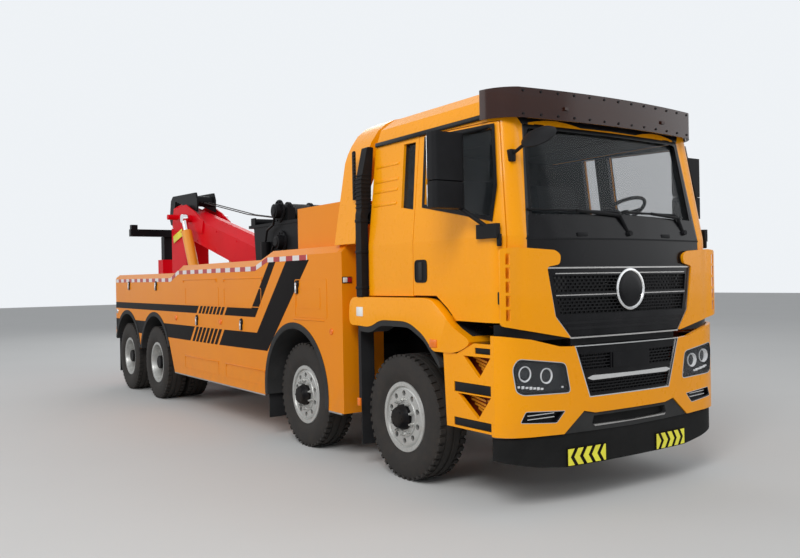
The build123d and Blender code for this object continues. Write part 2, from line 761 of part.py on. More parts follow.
# Dashboard with the steering wheel on its column, and the seats with the bunk behind them
driver_x = 520
with BuildPart() as dashboard:
    with BuildSketch(side_plane(-1010)):
        with BuildLine():
            Polyline(*side_points([(-1420, 1500), (-1180, 1500), (-1060, 1900), (-1040, 2040), (-1420, 2060)]),
                     close=True)
        make_face()
    extrude(amount=2020)
    add(cab_cavity, mode=Mode.INTERSECT)
    rim = Plane(origin=(driver_x, aft(-870), 2080), x_dir=(1, 0, 0), z_dir=(0, 0.55, 0.84))
    with BuildSketch(rim.offset(-360)):
        Circle(35)
    extrude(amount=370)
    with BuildSketch(rim.offset(-14)):
        Circle(228)
        Circle(200, mode=Mode.SUBTRACT)
        Rectangle(410, 34)
    extrude(amount=28)
save(dashboard.part, "dashboard")

with BuildPart() as seats:
    for x in (-driver_x, driver_x):
        with BuildSketch(side_plane(x - 260)):
            with BuildLine():
                Polyline(*side_points([(-760, 1760), (-760, 1900), (-300, 1870), (-190, 2560), (-80, 2570),
                                       (-150, 1760)]), close=True)
            make_face()
        extrude(amount=520)
        with BuildSketch(side_plane(x - 180)):
            with BuildLine():
                Polyline(*side_points([(-680, 1640), (-200, 1640), (-240, 1765), (-640, 1765)]), close=True)
            make_face()
        extrude(amount=360)
    with BuildSketch(side_plane(-1080)):
        with BuildLine():
            Polyline(*side_points([(-40, 1640), (360, 1640), (360, 2020), (-40, 2020)]), close=True)
        make_face()
    extrude(amount=2160)
save(seats.part, "seats")

# Mirrors: two lobes each side on bent arms from the door, and a small dished one over the front
for name, side in (("left", 1), ("right", -1)):
    with BuildPart() as mirror_side:
        for low, high in ((2225, 2420), (2428, 2780)):
            with BuildSketch(Plane.XY.offset(low)):
                with Locations((side * 1405, aft(-980))):
                    RectangleRounded(290, 120, 40)
            extrude(amount=high - low)
        with BuildSketch(Plane.XY.offset(2405)):
            with Locations((side * 1340, aft(-965))):
                Rectangle(60, 50)
        extrude(amount=40)
        with BuildSketch(side_plane(side * 1205 - 20)):
            with BuildLine():
                Polyline(*side_points([(-1100, 1995), (-1325, 1995), (-1325, 2100), (-1100, 2100)]), close=True)
            make_face()
        extrude(amount=40)
        for start, end in (((1205, -1200, 2080), (1290, -990, 2235)), ((1040, -1175, 2852), (1290, -990, 2780))):
            a = Vector(side * start[0], aft(start[1]), start[2])
            b = Vector(side * end[0], aft(end[1]), end[2])
            with BuildSketch(Plane(origin=a, z_dir=b - a)):
                Circle(16)
            extrude(amount=(b - a).length)
        add(cab_outer, mode=Mode.SUBTRACT)
    save(mirror_side.part, f"mirror_{name}")

with BuildPart() as front_mirror:
    a = Vector(-1035, aft(-1283), 2560)
    b = Vector(-985, aft(-1545), 2690)
    with BuildSketch(Plane(origin=a, z_dir=b - a)):
        Circle(13)
    extrude(amount=(b - a).length)
    with BuildSketch(Plane(origin=(-985, aft(-1600), 2700), x_dir=(1, 0, 0), z_dir=(0, 0.82, 0.57))):
        Circle(120)
    extrude(amount=60)
    add(cab_outer, mode=Mode.SUBTRACT)
save(front_mirror.part, "front_mirror")

# Boom: a plane across the boom at the foot pivot, whose normal runs up along the boom
along = Vector(0, cos(radians(boom_pitch)), sin(radians(boom_pitch)))
boom_axis = Plane(origin=(0, aft(boom_pivot_station), boom_pivot_z), x_dir=(1, 0, 0), z_dir=along)
# distances along the boom from the pivot
boom_front = -130
boom_end = 3740
half_depth = boom_depth / 2


def on_boom(distance, height):
    """Station and height of a point along the boom from its pivot and square above its centre line."""
    return (boom_pivot_station + distance * cos(radians(boom_pitch)) - height * sin(radians(boom_pitch)),
            boom_pivot_z + distance * sin(radians(boom_pitch)) + height * cos(radians(boom_pitch)))


def under_boom(station):
    return (boom_pivot_z + (station - boom_pivot_station) * tan(radians(boom_pitch))
            - half_depth / cos(radians(boom_pitch)))


def boom_section(shrink):
    half, low, high = boom_half - shrink, half_depth - shrink, half_depth - shrink
    return [(-half, low), (half, low), (half, -high), (50, -high - 95), (-50, -high - 95), (-half, -high)]


# The plane's local y points down, so the section is drawn with down positive
down = boom_axis.y_dir.Z < 0
with BuildPart() as boom_outer:
    with BuildSketch(boom_axis.offset(boom_front)):
        with BuildLine():
            Polyline(*[(x, y if down else -y) for x, y in boom_section(0)], close=True)
        make_face()
    extrude(amount=boom_end - boom_front)
    with BuildSketch(boom_axis.offset(boom_front + 300)):
        with BuildLine():
            Polyline(*[(x, y if down else -y) for x, y in boom_section(boom_wall)], close=True)
        make_face()
    extrude(amount=boom_end, mode=Mode.SUBTRACT)
    with BuildSketch(side_plane(-300)):
        with BuildLine():
            Polyline(*side_points([(4500, 2000), (4700, 2150), (5330, 2520), (4500, 2600)]), close=True)
        make_face()
    extrude(amount=600, mode=Mode.SUBTRACT)
    with BuildSketch(side_plane(-300)):
        with Locations((aft(boom_pivot_station), boom_pivot_z)):
            Circle(41)
    extrude(amount=600, mode=Mode.SUBTRACT)
    for x in (-240, 215):
        with BuildSketch(side_plane(x)):
            with BuildLine():
                Polyline(*side_points([(7043, 2713), (7405, 2885), (7840, 3045), (8120, 3040), (8330, 3000),
                                       (8500, 2900), (7966, 2770), (7635, 2600), (7105, 2511)]), close=True)
            make_face()
        extrude(amount=25)
    for side in (1, -1):
        with BuildSketch(side_plane(side * 272 - 32)):
            with Locations((aft(lift_eye_station), lift_eye_z)):
                Circle(60)
        extrude(amount=64)
        with BuildSketch(side_plane(side * 330 - 90)):
            with Locations((aft(8250), 2857)):
                Circle(45)
        extrude(amount=180)
save(boom_outer.part, "boom_outer")

# Mast: the boom's rear leg, with the ears that carry the stinger
with BuildPart() as mast:
    with BuildSketch(side_plane(-200)):
        with BuildLine():
            Polyline(*side_points([(7960, under_boom(7960)), (7960, 1500), (8230, 960), (8700, 960),
                                   (8700, under_boom(8700))]), close=True)
        make_face()
    extrude(amount=400)
    for x in (-200, 168):
        with BuildSketch(side_plane(x)):
            with BuildLine():
                Polyline(*side_points([(8690, 965), (9420, 965), (9505, 1050), (9420, 1135), (8690, 1500)]),
                         close=True)
            make_face()
        extrude(amount=32)
    with BuildSketch(side_plane(-215)):
        with Locations((aft(stinger_pivot_station), stinger_pivot_z)):
            Circle(38)
    extrude(amount=430)
save(mast.part, "mast")

# Inner boom section and the black sheave head on its end
inner_gap = 8
inner_end = boom_end + 110
with BuildPart() as boom_inner:
    with BuildSketch(boom_axis.offset(1900)):
        with BuildLine():
            Polyline(*[(x, y if down else -y) for x, y in boom_section(boom_wall + inner_gap)], close=True)
        make_face()
    extrude(amount=inner_end - 1900)
save(boom_inner.part, "boom_inner")

# distances along the boom and heights square to it
head_plate = [(2750, 302), (2790, 500), (2885, 604), (4000, 366), (4090, 270), (4090, -60), (4000, -150),
              (inner_end, -150), (inner_end, 302)]
head_block = [(inner_end, -150), (4000, -150), (4070, -80), (4070, 60), (inner_end, 60)]
with BuildPart() as sheave_head:
    for outline, x, width in ((head_plate, -170, 30), (head_plate, 140, 30), (head_block, -140, 280)):
        with BuildSketch(side_plane(x)):
            with BuildLine():
                Polyline(*side_points([on_boom(*point) for point in outline]), close=True)
            make_face()
        extrude(amount=width)
    with BuildSketch(side_plane(-140)):
        with Locations(*side_points([on_boom(2930, 450), on_boom(3960, 190)])):
            Circle(90)
    extrude(amount=280)
save(sheave_head.part, "sheave_head")

# Lift cylinders, leaning forward to their feet
lift_vector = Vector(0, lift_eye_station - lift_foot_station, lift_eye_z - lift_foot_z)
lift_length = lift_vector.length
lift_dir = lift_vector.normalized()
barrel_end = lift_length - 260
with BuildPart() as lift_barrels:
    for side in (1, -1):
        foot = Plane(origin=(side * lift_x, aft(lift_foot_station), lift_foot_z), x_dir=(1, 0, 0), z_dir=lift_dir)
        with BuildSketch(foot.offset(120)):
            Circle(85)
        extrude(amount=barrel_end - 120)
        with BuildSketch(foot.offset(40)):
            Rectangle(80, 120)
        extrude(amount=85)
        with BuildSketch(foot.offset(160)):
            Circle(52)
        extrude(amount=barrel_end, mode=Mode.SUBTRACT)
        with BuildSketch(side_plane(side * lift_x - 40)):
            with Locations((aft(lift_foot_station), lift_foot_z)):
                Circle(85)
        extrude(amount=80)
        with BuildSketch(side_plane(side * lift_x - 60)):
            with Locations((aft(lift_foot_station), lift_foot_z)):
                Circle(lift_pin_radius + 1)
        extrude(amount=120, mode=Mode.SUBTRACT)
save(lift_barrels.part, "lift_barrels")

with BuildPart() as lift_rods:
    for side in (1, -1):
        foot = Plane(origin=(side * lift_x, aft(lift_foot_station), lift_foot_z), x_dir=(1, 0, 0), z_dir=lift_dir)
        with BuildSketch(foot.offset(200)):
            Circle(46)
        extrude(amount=lift_length - 250)
        with BuildSketch(side_plane(side * lift_x - 40)):
            with Locations((aft(lift_eye_station), lift_eye_z)):
                Circle(72)
        extrude(amount=80)
save(lift_rods.part, "lift_rods")

# Stinger folded up behind the mast: outer arm, inner arm and the crossbar
with BuildPart() as stinger_outer:
    with BuildSketch(side_plane(-160)):
        with BuildLine():
            Polyline(*side_points([(9350, 1040), (9420, 970), (9490, 1040), (9620, 1200), (9620, 2150), (9350, 2150),
                                   (9350, 1200)]), close=True)
        make_face()
        with Locations((aft(stinger_pivot_station), stinger_pivot_z)):
            Circle(80)
            Circle(39, mode=Mode.SUBTRACT)
    extrude(amount=320)
    with BuildSketch(Plane.XY.offset(1350)):
        with Locations((0, aft(9485))):
            Rectangle(236, 186)
    extrude(amount=900, mode=Mode.SUBTRACT)
save(stinger_outer.part, "stinger_outer")

with BuildPart() as stinger_inner:
    with BuildSketch(Plane.XY.offset(1360)):
        with Locations((0, aft(9485))):
            Rectangle(224, 174)
    extrude(amount=1220)
    with BuildSketch(front_plane(9572)):
        with Locations((0, 2640)):
            Circle(60)
    extrude(amount=174)
    with BuildSketch(Plane.XY.offset(2560)):
        with Locations((0, aft(9485))):
            Rectangle(120, 174)
    extrude(amount=80)
save(stinger_inner.part, "stinger_inner")

with BuildPart() as crossbar:
    with BuildSketch(front_plane(9392)):
        with Locations((0, 2640)):
            Rectangle(1520, 130)
    extrude(amount=110)
    for side in (1, -1):
        with BuildSketch(front_plane(9392)):
            with Locations((side * 690, 2735)):
                Rectangle(110, 100)
        extrude(amount=110)
save(crossbar.part, "crossbar")
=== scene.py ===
from math import cos, pi, radians, sin

import bmesh
import bpy
from mathutils import Matrix, Vector


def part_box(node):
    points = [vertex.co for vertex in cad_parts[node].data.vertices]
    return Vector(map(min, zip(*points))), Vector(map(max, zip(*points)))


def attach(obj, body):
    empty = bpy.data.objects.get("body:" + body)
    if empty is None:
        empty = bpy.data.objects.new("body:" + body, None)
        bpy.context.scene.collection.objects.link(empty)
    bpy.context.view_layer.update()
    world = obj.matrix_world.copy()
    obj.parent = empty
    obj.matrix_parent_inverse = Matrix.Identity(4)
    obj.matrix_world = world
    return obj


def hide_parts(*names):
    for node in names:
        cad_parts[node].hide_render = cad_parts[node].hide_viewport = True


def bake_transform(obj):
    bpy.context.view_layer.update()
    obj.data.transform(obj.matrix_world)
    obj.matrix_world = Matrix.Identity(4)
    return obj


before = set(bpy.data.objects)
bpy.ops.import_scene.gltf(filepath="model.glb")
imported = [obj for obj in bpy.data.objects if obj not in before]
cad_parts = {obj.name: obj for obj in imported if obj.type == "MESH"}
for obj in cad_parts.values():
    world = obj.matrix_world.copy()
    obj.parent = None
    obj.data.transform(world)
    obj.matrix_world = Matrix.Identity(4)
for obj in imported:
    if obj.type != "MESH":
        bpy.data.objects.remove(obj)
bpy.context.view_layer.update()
scene = bpy.context.scene

# Sizes are in millimetres, and stations along the truck count from the first axle, whose y is in metres
firstAxle = (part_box("wheel_1_left")[0].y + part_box("wheel_1_left")[1].y) / 2
axleStations = (0, 1800, 6375, 7775)
tyreRadius = 535
bodyHalf = 1270


def at(x, station, z):
    return Vector((x / 1000, firstAxle + station / 1000, z / 1000))


# Camera, fitted to the photograph; its angles are in degrees
cameraFit = {"x": -5080, "station": -5777, "height": 1711, "yaw": 34.147, "pitch": 0.0057, "roll": -0.999,
             "lens": 36.85, "sensor": 36, "reach": 200}


def placeCamera():
    yaw, pitch, roll = (radians(cameraFit[k]) for k in ("yaw", "pitch", "roll"))
    ahead = Vector((sin(yaw) * cos(pitch), cos(yaw) * cos(pitch), sin(pitch)))
    right = Vector((cos(yaw), -sin(yaw), 0))
    up = right.cross(ahead)
    across = right * cos(roll) + up * sin(roll)
    above = up * cos(roll) - right * sin(roll)
    data = bpy.data.cameras.new("camera")
    data.lens, data.sensor_width, data.clip_end = (cameraFit[k] for k in ("lens", "sensor", "reach"))
    camera = bpy.data.objects.new("camera", data)
    place = Matrix.Translation(at(cameraFit["x"], cameraFit["station"], cameraFit["height"]))
    camera.matrix_world = place @ Matrix((across, above, -ahead)).transposed().to_4x4()
    scene.collection.objects.link(camera)
    scene.camera = camera


placeCamera()
scene.view_settings.view_transform = "Standard"


class Wire:  # a shader socket that does arithmetic
    def __init__(self, graph, socket):
        self.graph, self.socket = graph, socket

    def math(self, operation, *others):
        return self.graph.math(operation, self, *others)

    def __add__(self, other):
        return self.math("ADD", other)

    def __sub__(self, other):
        return self.math("SUBTRACT", other)

    def __rsub__(self, other):
        return self.graph.math("SUBTRACT", other, self)

    def __mul__(self, other):
        return self.math("MULTIPLY", other)

    def __truediv__(self, other):
        return self.math("DIVIDE", other)

    def __gt__(self, other):
        return self.math("GREATER_THAN", other)

    def __lt__(self, other):
        return self.math("LESS_THAN", other)

    __radd__, __rmul__ = __add__, __mul__


class Graph:  # the nodes of one material, or of the world
    def __init__(self, name, world=False):
        self.owner = (bpy.data.worlds if world else bpy.data.materials).new(name)
        self.owner.use_nodes = True
        self.tree = self.owner.node_tree
        self.tree.nodes.clear()
        self.place = None

    def math(self, operation, *values):
        return self.node("ShaderNodeMath", {"operation": operation}, dict(enumerate(values)))

    def node(self, kind, settings=None, inputs=None, output=0):
        made = self.tree.nodes.new(kind)
        for key, value in (settings or {}).items():
            setattr(made, key, value)
        for key, value in (inputs or {}).items():
            if isinstance(value, Wire):
                self.tree.links.new(value.socket, made.inputs[key])
            else:
                made.inputs[key].default_value = value
        return Wire(self, made.outputs[output])

    def spot(self):
        if self.place is None:
            self.place = self.node("ShaderNodeTexCoord", output="Object")
        return self.place

    def axes(self):
        split = self.node("ShaderNodeSeparateXYZ", inputs={0: self.spot()}).socket.node
        return [Wire(self, split.outputs[i]) for i in range(3)]

    def noise(self, scale, detail=3, rough=0.5, stretch=None):
        where = self.spot()
        if stretch:
            where = self.node("ShaderNodeMapping", inputs={"Vector": where, "Scale": stretch})
        return self.node("ShaderNodeTexNoise",
                         inputs={"Vector": where, "Scale": scale, "Detail": detail, "Roughness": rough})

    def blend(self, factor, first, second):
        first, second = ((*c, 1) if isinstance(c, tuple) and len(c) == 3 else c for c in (first, second))
        return self.node("ShaderNodeMix", {"data_type": "RGBA"}, {0: factor, 6: first, 7: second}, 2)

    def ramp(self, factor, low, high):
        return self.node("ShaderNodeMapRange", inputs={0: factor, 1: low, 2: high, 3: 0.0, 4: 1.0})

    def bump(self, height, distance, strength=0.5):
        return self.node("ShaderNodeBump", inputs={"Height": height, "Distance": distance, "Strength": strength})

    def finish(self, base, **sockets):
        names = {key: key.replace("_", " ").title().replace("Ior", "IOR") for key in sockets}
        inputs = {names[key]: value for key, value in sockets.items()}
        inputs["Base Color"] = (*base, 1) if isinstance(base, tuple) else base
        return self.close("ShaderNodeOutputMaterial", self.node("ShaderNodeBsdfPrincipled", inputs=inputs))

    def close(self, kind, shader):
        self.tree.links.new(shader.socket, self.tree.nodes.new(kind).inputs[0])
        return self.owner


# The space inside the cab, in metres from the first axle; above the waist its sides and front lean inwards
cabSpace = {"half": 1.17, "sideLean": 0.1011, "frontLean": 0.1685, "waist": 2.01, "front": -1.405, "rear": 0.41,
            "corner": -2.655, "cornerSlope": 1.28, "floor": 1.27, "top": 2.87}


def insideCab(g):
    x, y, z = g.axes()
    rise = (z - cabSpace["waist"]).math("MAXIMUM", 0.0)
    reach = x.math("ABSOLUTE") + rise * cabSpace["sideLean"]
    along = y - firstAxle
    ahead = along - rise * cabSpace["frontLean"]
    inside = (reach < cabSpace["half"]) * (along < cabSpace["rear"]) * (ahead > cabSpace["front"])
    inside = inside * (ahead - reach * cabSpace["cornerSlope"] > cabSpace["corner"])
    return inside * (z > cabSpace["floor"]) * (z < cabSpace["top"])


roadDust, cabLining = (0.22, 0.17, 0.12), (0.028, 0.027, 0.027)


def paint(name, colour, dark, rough=0.28, coat=0.3, grime=0.2, shine=0.35, lined=False):
    g = Graph(name)
    base = g.blend(g.ramp(g.noise(0.9, 4, 0.6), 0.35, 0.75), colour, dark)
    if lined:
        base = g.blend(insideCab(g), base, cabLining)
    dust = g.ramp(g.axes()[2], 0.9, 0.3) * g.ramp(g.noise(7, 5, 0.7), 0.4, 0.8) * grime  # more of it lower down
    base = g.blend(dust, base, roadDust)
    gloss = rough + g.noise(16, 4, 0.6) * 0.08 + dust * 0.5
    return g.finish(base, roughness=gloss, coat_weight=coat, coat_roughness=0.06, specular_ior_level=shine,
                    normal=g.bump(g.noise(420, 2), 0.0004, 0.12))


def plastic(name, colour, rough=0.55, grain=900, depth=0.0006, shine=0.4):
    g = Graph(name)
    cloud = g.noise(6, 4, 0.6)
    base = g.blend(g.ramp(cloud, 0.3, 0.8), colour, tuple(min(1, c * 1.35 + 0.003) for c in colour))
    return g.finish(base, roughness=rough + cloud * 0.15, specular_ior_level=shine,
                    normal=g.bump(g.noise(grain, 2), depth, 0.35))


def metal(name, colour, rough=0.3, wear=0.25, stretch=(1, 1, 12)):
    g = Graph(name)
    streak = g.noise(60, 4, 0.6, stretch)
    cloud = g.noise(5, 4, 0.7)
    base = g.blend(g.ramp(cloud, 0.45, 0.85) * wear, colour, tuple(c * 0.35 for c in colour))
    return g.finish(base, metallic=1.0, roughness=rough + streak * 0.16, normal=g.bump(streak, 0.0004, 0.2))


def clear(name, colour, rough=0.03, alpha=0.25, shine=0.5):
    g = Graph(name)
    smear = g.noise(3, 4, 0.6)
    return g.finish(g.blend(g.ramp(smear, 0.4, 0.8), colour, tuple(min(1, c * 1.15) for c in colour)),
                    roughness=rough + smear * 0.04, alpha=alpha, specular_ior_level=shine)


def tyreRubber():
    g = Graph("tyreRubber")
    dust = g.ramp(g.noise(9, 5, 0.7), 0.45, 0.8)
    base = g.blend(dust * 0.5, (0.030, 0.027, 0.025), (0.070, 0.058, 0.048))
    return g.finish(base, roughness=0.78 + dust * 0.15, specular_ior_level=0.25,
                    normal=g.bump(g.noise(260, 4), 0.0012, 0.4))


def wheelSilver():
    g = Graph("wheelSilver")
    grime = g.ramp(g.noise(14, 5, 0.7), 0.5, 0.8)
    base = g.blend(grime * 0.5, (0.50, 0.50, 0.48), (0.19, 0.165, 0.14))
    return g.finish(base, metallic=0.5, roughness=0.34 + grime * 0.3, normal=g.bump(g.noise(300, 3), 0.0005, 0.25))


def castIron():
    g = Graph("castIron")
    base = g.blend(g.ramp(g.noise(8, 5, 0.7), 0.4, 0.75), (0.030, 0.030, 0.032), (0.07, 0.055, 0.043))
    return g.finish(base, roughness=0.75, metallic=0.2, normal=g.bump(g.noise(140, 5, 0.7), 0.002, 0.5))


def seatCloth():
    g = Graph("seatCloth")
    weave = g.node("ShaderNodeTexWave", {"wave_type": "BANDS"}, {"Vector": g.spot(), "Scale": 260.0, "Distortion": 1.5})
    base = g.blend(weave, (0.020, 0.020, 0.022), (0.045, 0.045, 0.048))
    return g.finish(base, roughness=0.9, sheen_weight=0.2, normal=g.bump(weave, 0.0008, 0.5))


def tapeSquares():
    g = Graph("markingTape")
    x, y, _ = g.axes()
    turn = ((x + y) / 0.300).math("FRACT")  # a white and a red square are 0.3 m long together
    facet = g.node("ShaderNodeTexVoronoi", inputs={"Vector": g.spot(), "Scale": 260.0})
    colour = g.blend(turn > 0.5, (0.74, 0.70, 0.68), (0.42, 0.008, 0.012))
    return g.finish(colour, roughness=0.32, normal=g.bump(facet, 0.0006, 0.4))


def ropeWire():
    g = Graph("ropeWire")
    lay = g.node("ShaderNodeTexWave", {"wave_type": "BANDS", "bands_direction": "DIAGONAL"},
                 {"Vector": g.spot(), "Scale": 60.0, "Distortion": 0.4})
    return g.finish(g.blend(lay, (0.025, 0.024, 0.023), (0.12, 0.115, 0.11)), metallic=0.6, roughness=0.5,
                    normal=g.bump(lay, 0.003, 0.6))


look = {
    "cab": paint("cabPaint", (0.95, 0.36, 0.001), (0.91, 0.33, 0.001), 0.24, 0.16, 0.15, 0.16, lined=True),
    "body": paint("bodyPaint", (0.84, 0.265, 0.003), (0.80, 0.24, 0.003), 0.34, 0.08, 0.25, 0.14),
    "red": paint("boomPaint", (0.78, 0.002, 0.012), (0.66, 0.001, 0.008), 0.36, 0.02, 0.1, 0.06),
    "black": paint("blackPaint", (0.006, 0.006, 0.007), (0.010, 0.010, 0.011), 0.42, 0.02, 0.2, 0.08),
    "frame": paint("framePaint", (0.006, 0.006, 0.007), (0.010, 0.009, 0.009), 0.6, 0.0, 0.2, 0.05),
    "lip": plastic("lipPlastic", (0.030, 0.030, 0.030), 0.6, 700, shine=0.1),
    "skirt": plastic("skirtPlastic", (0.012, 0.012, 0.012), 0.55, 700, shine=0.06),
    "stripe": paint("stripeFilm", (0.006, 0.0045, 0.0045), (0.009, 0.007, 0.007), 0.30, 0.0, 0.1, 0.03),
    "bright": plastic("lampBowl", (0.74, 0.75, 0.78), 0.1, 90, 0.0008, 0.6),
    # step well walls: the cab's orange plastic darkened to brown as painted shade of the recess
    "stepWellShade": plastic("stepWellPaintedShade", (0.20, 0.022, 0.004), 0.5, 700, shine=0.2),
    "orange": paint("cylinderPaint", (0.88, 0.36, 0.02), (0.82, 0.31, 0.02), 0.35, 0.3, 0.1),
    "plastic": plastic("blackPlastic", (0.008, 0.008, 0.009), 0.5, shine=0.12),
    "gloss": plastic("glossPanel", (0.004, 0.004, 0.005), 0.16, 700, 0.0001, 0.15),
    "trim": plastic("interiorTrim", (0.020, 0.019, 0.019), 0.7, 500, shine=0.15),
    "sheet": plastic("rubberSheet", (0.011, 0.011, 0.012), 0.7, 300, 0.001, 0.3),
    "visor": clear("smokedVisor", (0.030, 0.009, 0.006), 0.12, 0.94, 0.3),
    "glass": clear("windowGlass", (0.020, 0.026, 0.030), 0.03, 0.22, 0.4),
    "lens": clear("lampCover", (0.30, 0.32, 0.34), 0.04, 0.06, 0.4),
    "chrome": metal("hardChrome", (0.78, 0.78, 0.78), 0.08, 0.1),
    "steel": metal("bareSteel", (0.42, 0.41, 0.40), 0.32, 0.4),
    "silver": wheelSilver(), "tyre": tyreRubber(), "iron": castIron(), "cloth": seatCloth(),
    "tape": tapeSquares(), "rope": ropeWire(),
    "amber": plastic("amberLens", (0.75, 0.16, 0.004), 0.15, 500),
    "redLens": plastic("redLens", (0.35, 0.01, 0.012), 0.15, 500),
    "white": plastic("whitePlate", (0.66, 0.66, 0.64), 0.35, 500),
    "yellow": plastic("yellowPlate", (0.80, 0.72, 0.05), 0.35, 500),
    "mirror": metal("mirrorGlass", (0.85, 0.86, 0.87), 0.02, 0.05),
}
print("materials made")


def byName(groups):  # turns {group: "name name"} round to {name: group}
    return {name: group for group, names in groups.items() for name in names.split()}


nodeLook = byName({
    "cab": "cab_fairing front_fenders cab_steps bumper cab_shell cab_roof door_left door_right",
    "body": "body_side_left body_side_right deck tail_panel front_box",
    "red": "boom_stand boom_outer mast boom_inner stinger_outer",
    "black": "winches sheave_head stinger_inner crossbar",
    "frame": "chassis_frame front_axles rear_axles front_apron",
    "plastic": "air_intake lower_grille upper_grille front_mirror mirror_left mirror_right",
    "gloss": "headlamps front_panel", "glass": "cab_glass door_glass_left door_glass_right", "visor": "sun_visor",
    "trim": "dashboard", "cloth": "seats", "sheet": "mudguards", "orange": "lift_barrels", "chrome": "lift_rods"})
for name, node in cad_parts.items():  # a node that isn't listed is a wheel, or cast: the engine and the knuckles
    key = nodeLook.get(name, "tyre" if name.startswith("wheel") else "iron")
    node.data.materials.clear()
    node.data.materials.append(look[key])
print("CAD nodes dressed")


def newMesh(name):
    made = bpy.data.objects.new(name, bpy.data.meshes.new(name))
    scene.collection.objects.link(made)
    return made


# Mesh helpers: each adds closed forms to a bmesh, with their place in them
def poured(bm, source):
    joined = bpy.data.meshes.new("joined")
    source.to_mesh(joined)
    source.free()
    bm.from_mesh(joined)
    bpy.data.meshes.remove(joined)


def filled(bm, loops, push, cuts=(), place=None):  # the area between loops, pushed to a thickness
    sheet = bmesh.new()
    edges = []
    for loop in loops:
        ring = [sheet.verts.new(point) for point in loop]
        edges += [sheet.edges.new((ring[i - 1], ring[i])) for i in range(len(ring))]
    bmesh.ops.triangle_fill(sheet, use_beauty=True, edges=edges)
    for cut in cuts:
        everything = sheet.verts[:] + sheet.edges[:] + sheet.faces[:]
        bmesh.ops.bisect_plane(sheet, geom=everything, plane_co=cut, plane_no=(1, 0, 0))
    out = bmesh.ops.extrude_face_region(sheet, geom=sheet.faces[:])
    moved = [part for part in out["geom"] if isinstance(part, bmesh.types.BMVert)]
    bmesh.ops.translate(sheet, verts=moved, vec=push)
    for vert in sheet.verts if place else ():
        vert.co = place(vert.co)
    poured(bm, sheet)


def rounded(bm, edges, size, segments, clamp=False):
    bmesh.ops.bevel(bm, geom=edges, offset=size / 1000, affect="EDGES", segments=segments, profile=0.5, material=-1,
                    clamp_overlap=clamp)


def outlineEdges(bm, x, low):  # the outline of an outer face, above a height
    return [edge for edge in bm.edges if any(abs(face.normal.x) < 0.5 for face in edge.link_faces)
            and all(abs(abs(v.co.x) - x / 1000) < 0.0005 and v.co.z > low / 1000 for v in edge.verts)]


def brick(bm, centre, size, turn=None, soft=0.0):
    matrix = Matrix.Translation(centre) @ (turn or Matrix.Identity(4)) @ Matrix.Diagonal((*(s / 1000 for s in size), 1))
    verts = bmesh.ops.create_cube(bm, size=1, matrix=matrix)["verts"]
    if soft:
        rounded(bm, list({edge for vert in verts for edge in vert.link_edges}), soft, 2)


def facingTurn(direction, axis="Z"):
    return direction.to_track_quat(axis, "Y").to_matrix().to_4x4()


def rod(bm, start, end, radius, sides=12, tip=None):
    place = Matrix.Translation((start + end) / 2) @ facingTurn(end - start)
    bmesh.ops.create_cone(bm, cap_ends=True, segments=sides, radius1=radius / 1000, radius2=(tip or radius) / 1000,
                          depth=(end - start).length, matrix=place)


def sideRod(bm, side, near, far, station, z, radius, sides=24, tip=None, base=bodyHalf):
    rod(bm, at(side * (base + near), station, z), at(side * (base + far), station, z), radius, sides, tip)


def pipe(bm, points, radius, sides=10):
    for start, end in zip(points, points[1:]):
        rod(bm, start, end, radius, sides)
    for joint in points[1:-1]:
        bmesh.ops.create_icosphere(bm, subdivisions=2, radius=radius / 1000, matrix=Matrix.Translation(joint))


def spun(bm, outline, centre, axis, steps=48, closed=True, angle=2 * pi):
    verts = [bm.verts.new(point) for point in outline]
    pairs = list(zip(verts, verts[1:])) + ([(verts[-1], verts[0])] if closed else [])
    edges = [bm.edges.new(pair) for pair in pairs]
    full = angle == 2 * pi
    bmesh.ops.spin(bm, geom=verts + edges, cent=centre, axis=axis, angle=angle, steps=steps, use_merge=full)


def lathe(bm, centre, profile, steps, closed=False):  # pairs of depth and radius, spun round a line along the truck
    spun(bm, [centre + Vector((0, u / 1000, r / 1000)) for u, r in profile], centre, (0, 1, 0), steps, closed)


def piece(name, bm, finish, body="chassis", replaces=(), crease=32):
    bmesh.ops.remove_doubles(bm, verts=bm.verts, dist=0.00001)
    bmesh.ops.recalc_face_normals(bm, faces=bm.faces)
    made = newMesh(name)
    bm.to_mesh(made.data)
    bm.free()
    made.data.materials.append(look[finish])
    made.data.polygons.foreach_set("use_smooth", [True] * len(made.data.polygons))
    made.data.set_sharp_from_angle(angle=radians(crease))
    if isinstance(body, tuple):  # a rope between two bodies
        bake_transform(made)
    else:
        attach(made, body)
    if replaces:
        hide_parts(*replaces)


# Outlines: lists of flat points
def softened(points, radius, steps=3):
    soft = []
    for i, here in enumerate(points):
        here = Vector(here)
        back, onward = Vector(points[i - 1]) - here, Vector(points[(i + 1) % len(points)]) - here
        cut = min(radius, back.length * 0.45, onward.length * 0.45)
        first, last = here + back.normalized() * cut, here + onward.normalized() * cut
        for k in range(steps + 1):
            t = k / steps
            soft.append(first * (1 - t) ** 2 + here * 2 * t * (1 - t) + last * t * t)
    return soft


def drawnIn(points, gap):
    points = [Vector(point) for point in points]
    area = sum(points[i - 1].cross(points[i]) for i in range(len(points)))
    gap = gap if area > 0 else -gap
    inner = []
    for i, here in enumerate(points):
        before = (here - points[i - 1]).normalized()
        after = (points[(i + 1) % len(points)] - here).normalized()
        normals = Vector((-before.y, before.x)), Vector((-after.y, after.x))
        inner.append(here + (normals[0] + normals[1]) * gap / (1 + normals[0].dot(normals[1])))
    return inner


def mirrored(half):  # closes a half outline, drawn from the middle out and back, over the middle
    return list(half) + [(-x, z) for x, z in reversed(half) if x > 0]


def onSide(side, points):
    return [(side * x, z) for x, z in points]


def box2(left, right, low, high):
    return [(left, low), (right, low), (right, high), (left, high)]


